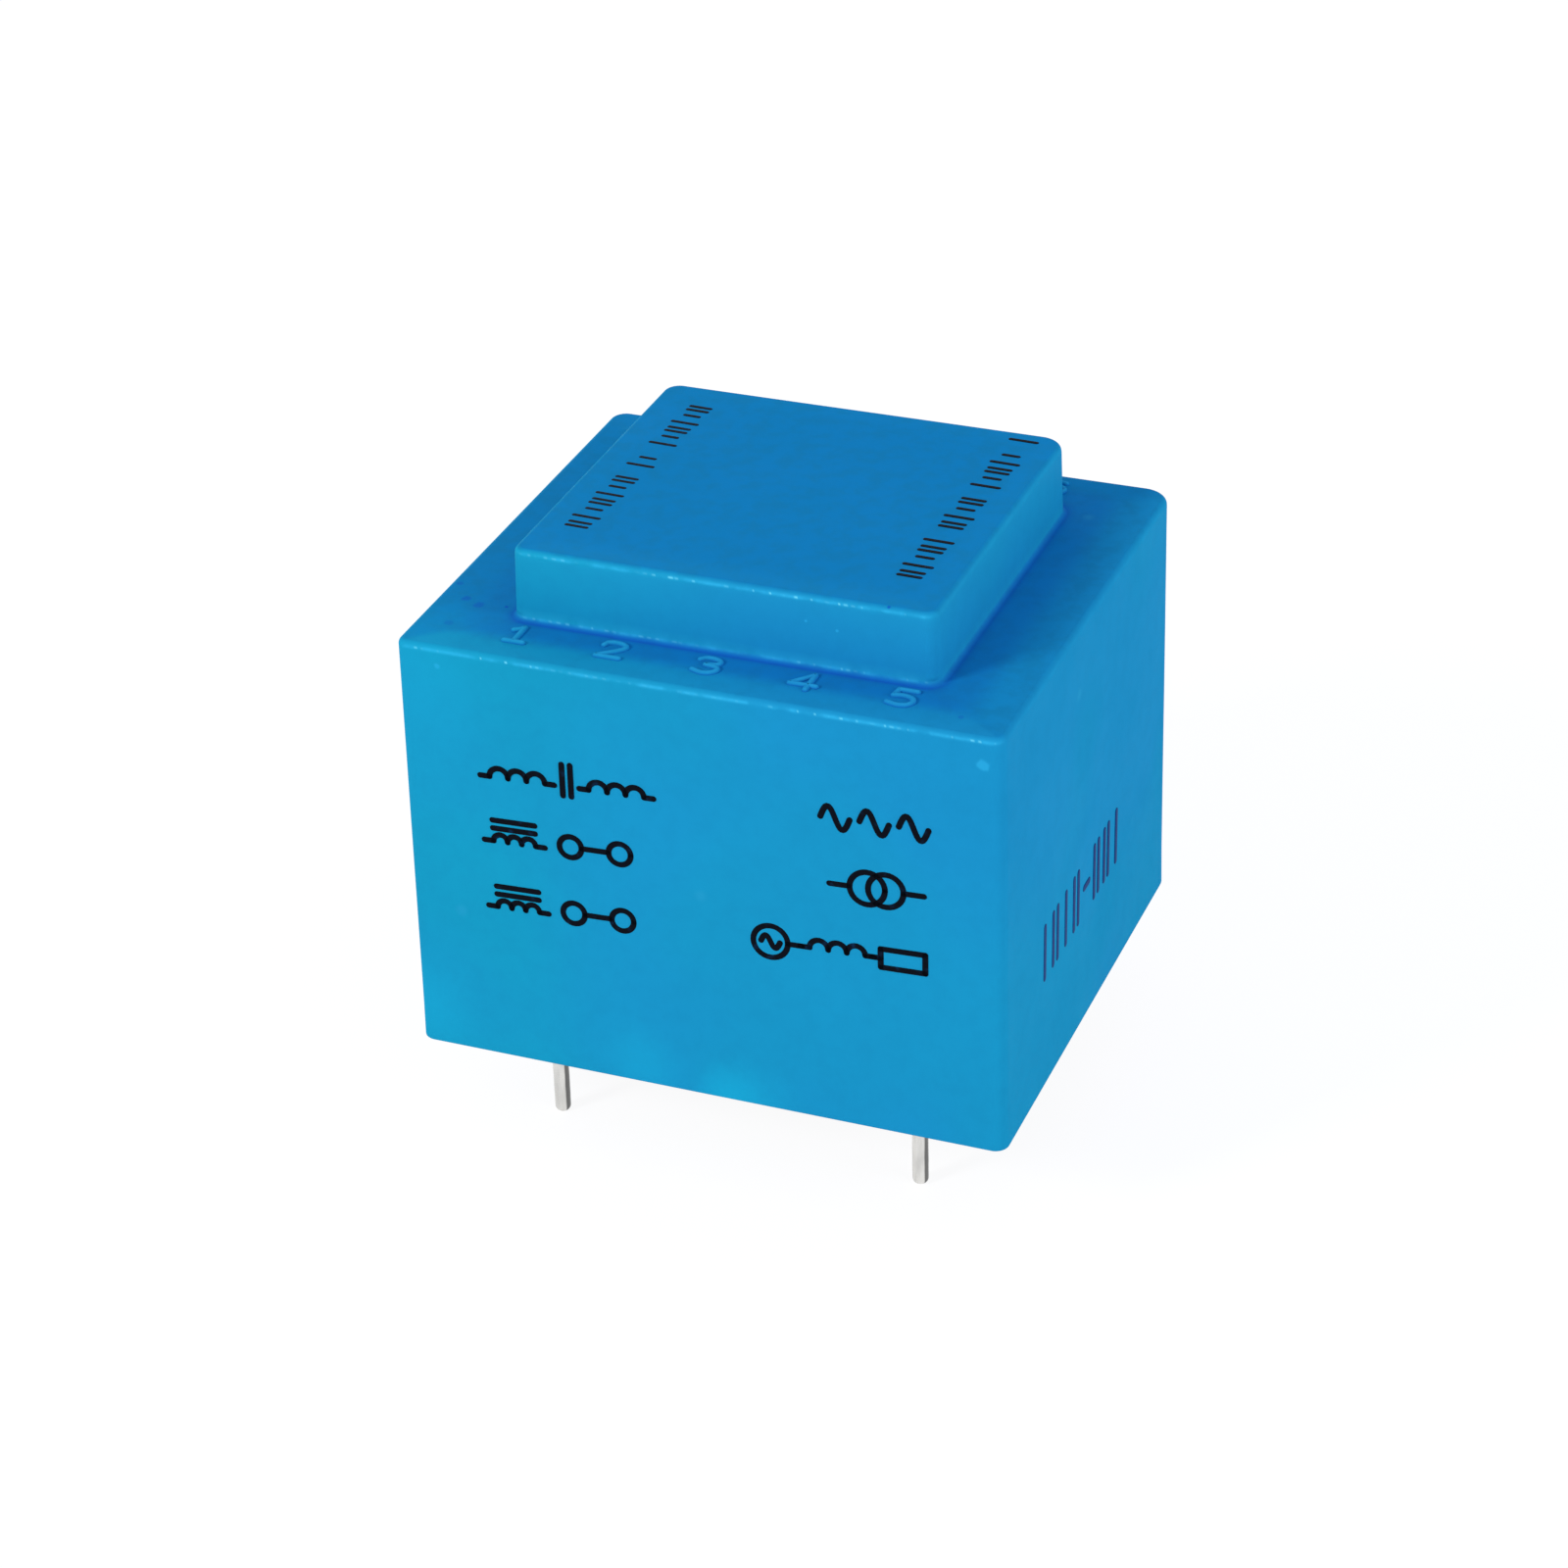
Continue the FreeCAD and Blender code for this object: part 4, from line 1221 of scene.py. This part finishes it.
class TRANSFORMER_OT_pins(bpy.types.Operator):
    """Make the four tinned pins with their rounded tips"""
    bl_idname = "transformer.pins"
    bl_label = "Tinned Pins"

    def execute(self, context):
        sizes = context.scene.transformer_pins
        material = tin_finish(context.scene.transformer_finishes)
        for index, name in enumerate(PIN_NODES):
            surface = self.surface(name, index, sizes)
            piece = add_piece("tinned_" + name, surface, material,
                              {"tarnish": self.tarnish(surface[0], name)})
            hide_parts(name)
        return {"FINISHED"}

    def tarnish(self, points, name):
        """Painted shade on the side that looks towards +X, from none at 50 degrees to full at 27.
        """
        out = points[:, :2] - pin_box(name)[0][:2]
        out_x = out[:, 0] / np.maximum(np.linalg.norm(out, axis=1), 1e-9)
        return np.clip((out_x - 0.64) / 0.25, 0, 1)

    def surface(self, name, index, sizes):
        """Profile of radius against height turned about the pin's axis.

        The tip's radius goes from the flat to the full one along a quarter of an ellipse, and
        the free end's radius is less by a ripple of sines in height and angle.
        """
        centre, low, high = pin_box(name)
        shank = (high[0] - low[0]) / 2
        tip = low[2]
        turn = np.linspace(0, QUARTER, 10)
        tip_r = sizes.tip_flat + (sizes.radius - sizes.tip_flat) * np.sin(turn)
        tip_z = tip + sizes.tip_length * (1 - np.cos(turn))
        free_z = np.linspace(tip + sizes.tip_length, sizes.root_height, 40)[1:]
        shank_z = np.array([sizes.root_height, sizes.root_height, high[2] - 0.05 * MM, high[2]])
        shank_r = np.array([shank - 0.05 * MM, shank, shank, shank - 0.05 * MM])
        radius = np.concatenate([tip_r, np.full(len(free_z), sizes.radius), shank_r])
        z = np.concatenate([tip_z, free_z, shank_z])
        a = full_turn(48)
        steps = z[:, None] / MM + 3 * index
        ripple = np.sin(2.1 * steps + 2 * a) + np.sin(5.3 * steps - a) + np.sin(3 * a + 0.8 * steps)
        free = (z <= sizes.root_height)[:, None]
        r = radius[:, None] - free * sizes.tin_ripple * (0.5 + ripple / 6)
        return turned(centre, r, z, a, tip, high[2])


class TRANSFORMER_OT_resin(bpy.types.Operator):
    """Make the resin's face in the cup's mouth, creeping up the walls and the pins"""
    bl_idname = "transformer.resin"
    bl_label = "Resin Face"

    def execute(self, context):
        scene = context.scene
        sizes = scene.transformer_cup
        material = resin_finish(scene.transformer_finishes)
        coat(["potting_resin"], material)
        face = self.face(sizes)
        collars = [self.collar(name, scene.transformer_pins) for name in PIN_NODES]
        add_piece("resin_face", joined([face] + collars), material)
        return {"FINISHED"}

    def face(self, sizes):
        """Slab from a pole above the resin's level, out to the wall, and back to a pole below.

        Near the wall it dips towards the rim by creep times (1 - distance / reach) cubed.
        """
        level, creep, reach = RESIN_LEVEL, 0.28 * MM, 1.1 * MM
        wall_x = CUP_HIGH[0] - sizes.wall + 0.02 * MM
        wall_y = CUP_HIGH[1] - sizes.wall + 0.02 * MM
        radii = np.maximum(cup_corners(sizes) - sizes.wall, 0.4 * MM)
        inset = np.concatenate([np.linspace(0, reach, 14), np.linspace(1.6, 12.0, 26) * MM])
        dip = creep * np.clip(1 - inset / reach, 0, 1) ** 3
        under = level - 0.01 * MM - dip
        slab = Profile()
        back = np.array([11.0, 6.0, 2.0, 0.4, 0.0]) * MM
        for depth, z in ((back, np.full(5, level + 0.4 * MM)), (inset, under)):
            slab.add((wall_x, -wall_y, wall_y), -depth, z,
                     np.maximum(radii[None] - depth[:, None], 0.1 * MM))
        rings = slab.rings()
        x, y = rings[..., 0] / MM, rings[..., 1] / MM
        swell = 0.015 * MM * (np.sin(0.7 * x + 1.0) + np.sin(0.9 * y - 0.4 * x))
        rings[5:, :, 2] -= np.clip(swell[5:], 0, None)
        return closed_surface(rings, (0, 0, level + 0.4 * MM), (0, 0, level - 0.01 * MM))

    def collar(self, name, sizes):
        """Hollow cone of resin round a pin: height falls as (1 - distance / reach) cubed."""
        level, creep, reach = RESIN_LEVEL, 0.32 * MM, 0.75 * MM
        out = np.linspace(0, reach, 14)
        radius = np.concatenate([[0.2 * MM], sizes.radius - 0.02 * MM + out,
                                 [sizes.radius + reach]])
        dip = creep * (1 - out / reach) ** 3
        z = np.concatenate([[level - creep], level - dip, [level + 0.1 * MM]])
        return turned(pin_box(name)[0], radius[:, None], z, full_turn(40), level - creep,
                      level + 0.1 * MM)


class TRANSFORMER_OT_inside(bpy.types.Operator):
    """Give the core, bobbin, windings, leads and solder their finishes"""
    bl_idname = "transformer.inside"
    bl_label = "Inside"

    def execute(self, context):
        finishes = context.scene.transformer_finishes
        coat(["e_laminations_front", "e_laminations_rear", "i_laminations_front",
              "i_laminations_rear"], steel_finish(finishes))
        coat(["bobbin"], bobbin_finish(finishes))
        for node_name, wire, pitch in (("primary_winding", "fine_wire", 0.14 * MM),
                                       ("secondary_winding", "thick_wire", 0.4 * MM)):
            coat([node_name], wound_finish(wire, finishes.copper, pitch, 0.9, 0.28, 0.7))
        coat(["primary_tape", "secondary_tape"],
             wound_finish("winding_tape", finishes.tape, 3.4 * MM, 0.0, 0.3, 0.85))
        coat(["primary_lead_1", "primary_lead_5", "secondary_lead_7", "secondary_lead_9"],
             wire_finish(finishes))
        coat(["solder_1", "solder_5", "solder_7", "solder_9"], solder_finish(finishes))
        return {"FINISHED"}


OPERATORS = (TRANSFORMER_OT_stage, TRANSFORMER_OT_cup, TRANSFORMER_OT_numbers,
             TRANSFORMER_OT_print, TRANSFORMER_OT_pins, TRANSFORMER_OT_resin,
             TRANSFORMER_OT_inside)
SETTINGS = {"transformer_cup": CupSizes, "transformer_relief": ReliefSizes,
            "transformer_pins": PinSizes, "transformer_finishes": Finishes,
            "transformer_stage": StageSettings}


class TRANSFORMER_PT_panel(bpy.types.Panel):
    """Lists the transformer's operators and sizes"""
    bl_idname = "TRANSFORMER_PT_panel"
    bl_label = "Transformer"
    bl_space_type = "VIEW_3D"
    bl_region_type = "UI"
    bl_category = "Transformer"

    def draw(self, context):
        for operator in OPERATORS:
            self.layout.operator(operator.bl_idname)
        for label, group in SETTINGS.items():
            box = self.layout.box()
            for key in group.__annotations__:
                box.prop(getattr(context.scene, label), key)


def register():
    for label, group in SETTINGS.items():
        bpy.utils.register_class(group)
        setattr(bpy.types.Scene, label, PointerProperty(type=group))
    for operator in OPERATORS:
        bpy.utils.register_class(operator)
    bpy.utils.register_class(TRANSFORMER_PT_panel)


def unregister():
    bpy.utils.unregister_class(TRANSFORMER_PT_panel)
    for operator in reversed(OPERATORS):
        bpy.utils.unregister_class(operator)
    for label, group in reversed(SETTINGS.items()):
        delattr(bpy.types.Scene, label)
        bpy.utils.unregister_class(group)


def main():
    """Register, and make every piece in order."""
    register()
    bpy.ops.transformer.stage()
    bpy.ops.transformer.cup()
    bpy.ops.transformer.numbers()
    bpy.ops.transformer.print()
    bpy.ops.transformer.pins()
    bpy.ops.transformer.resin()
    bpy.ops.transformer.inside()


if __name__ == "__main__":
    main()
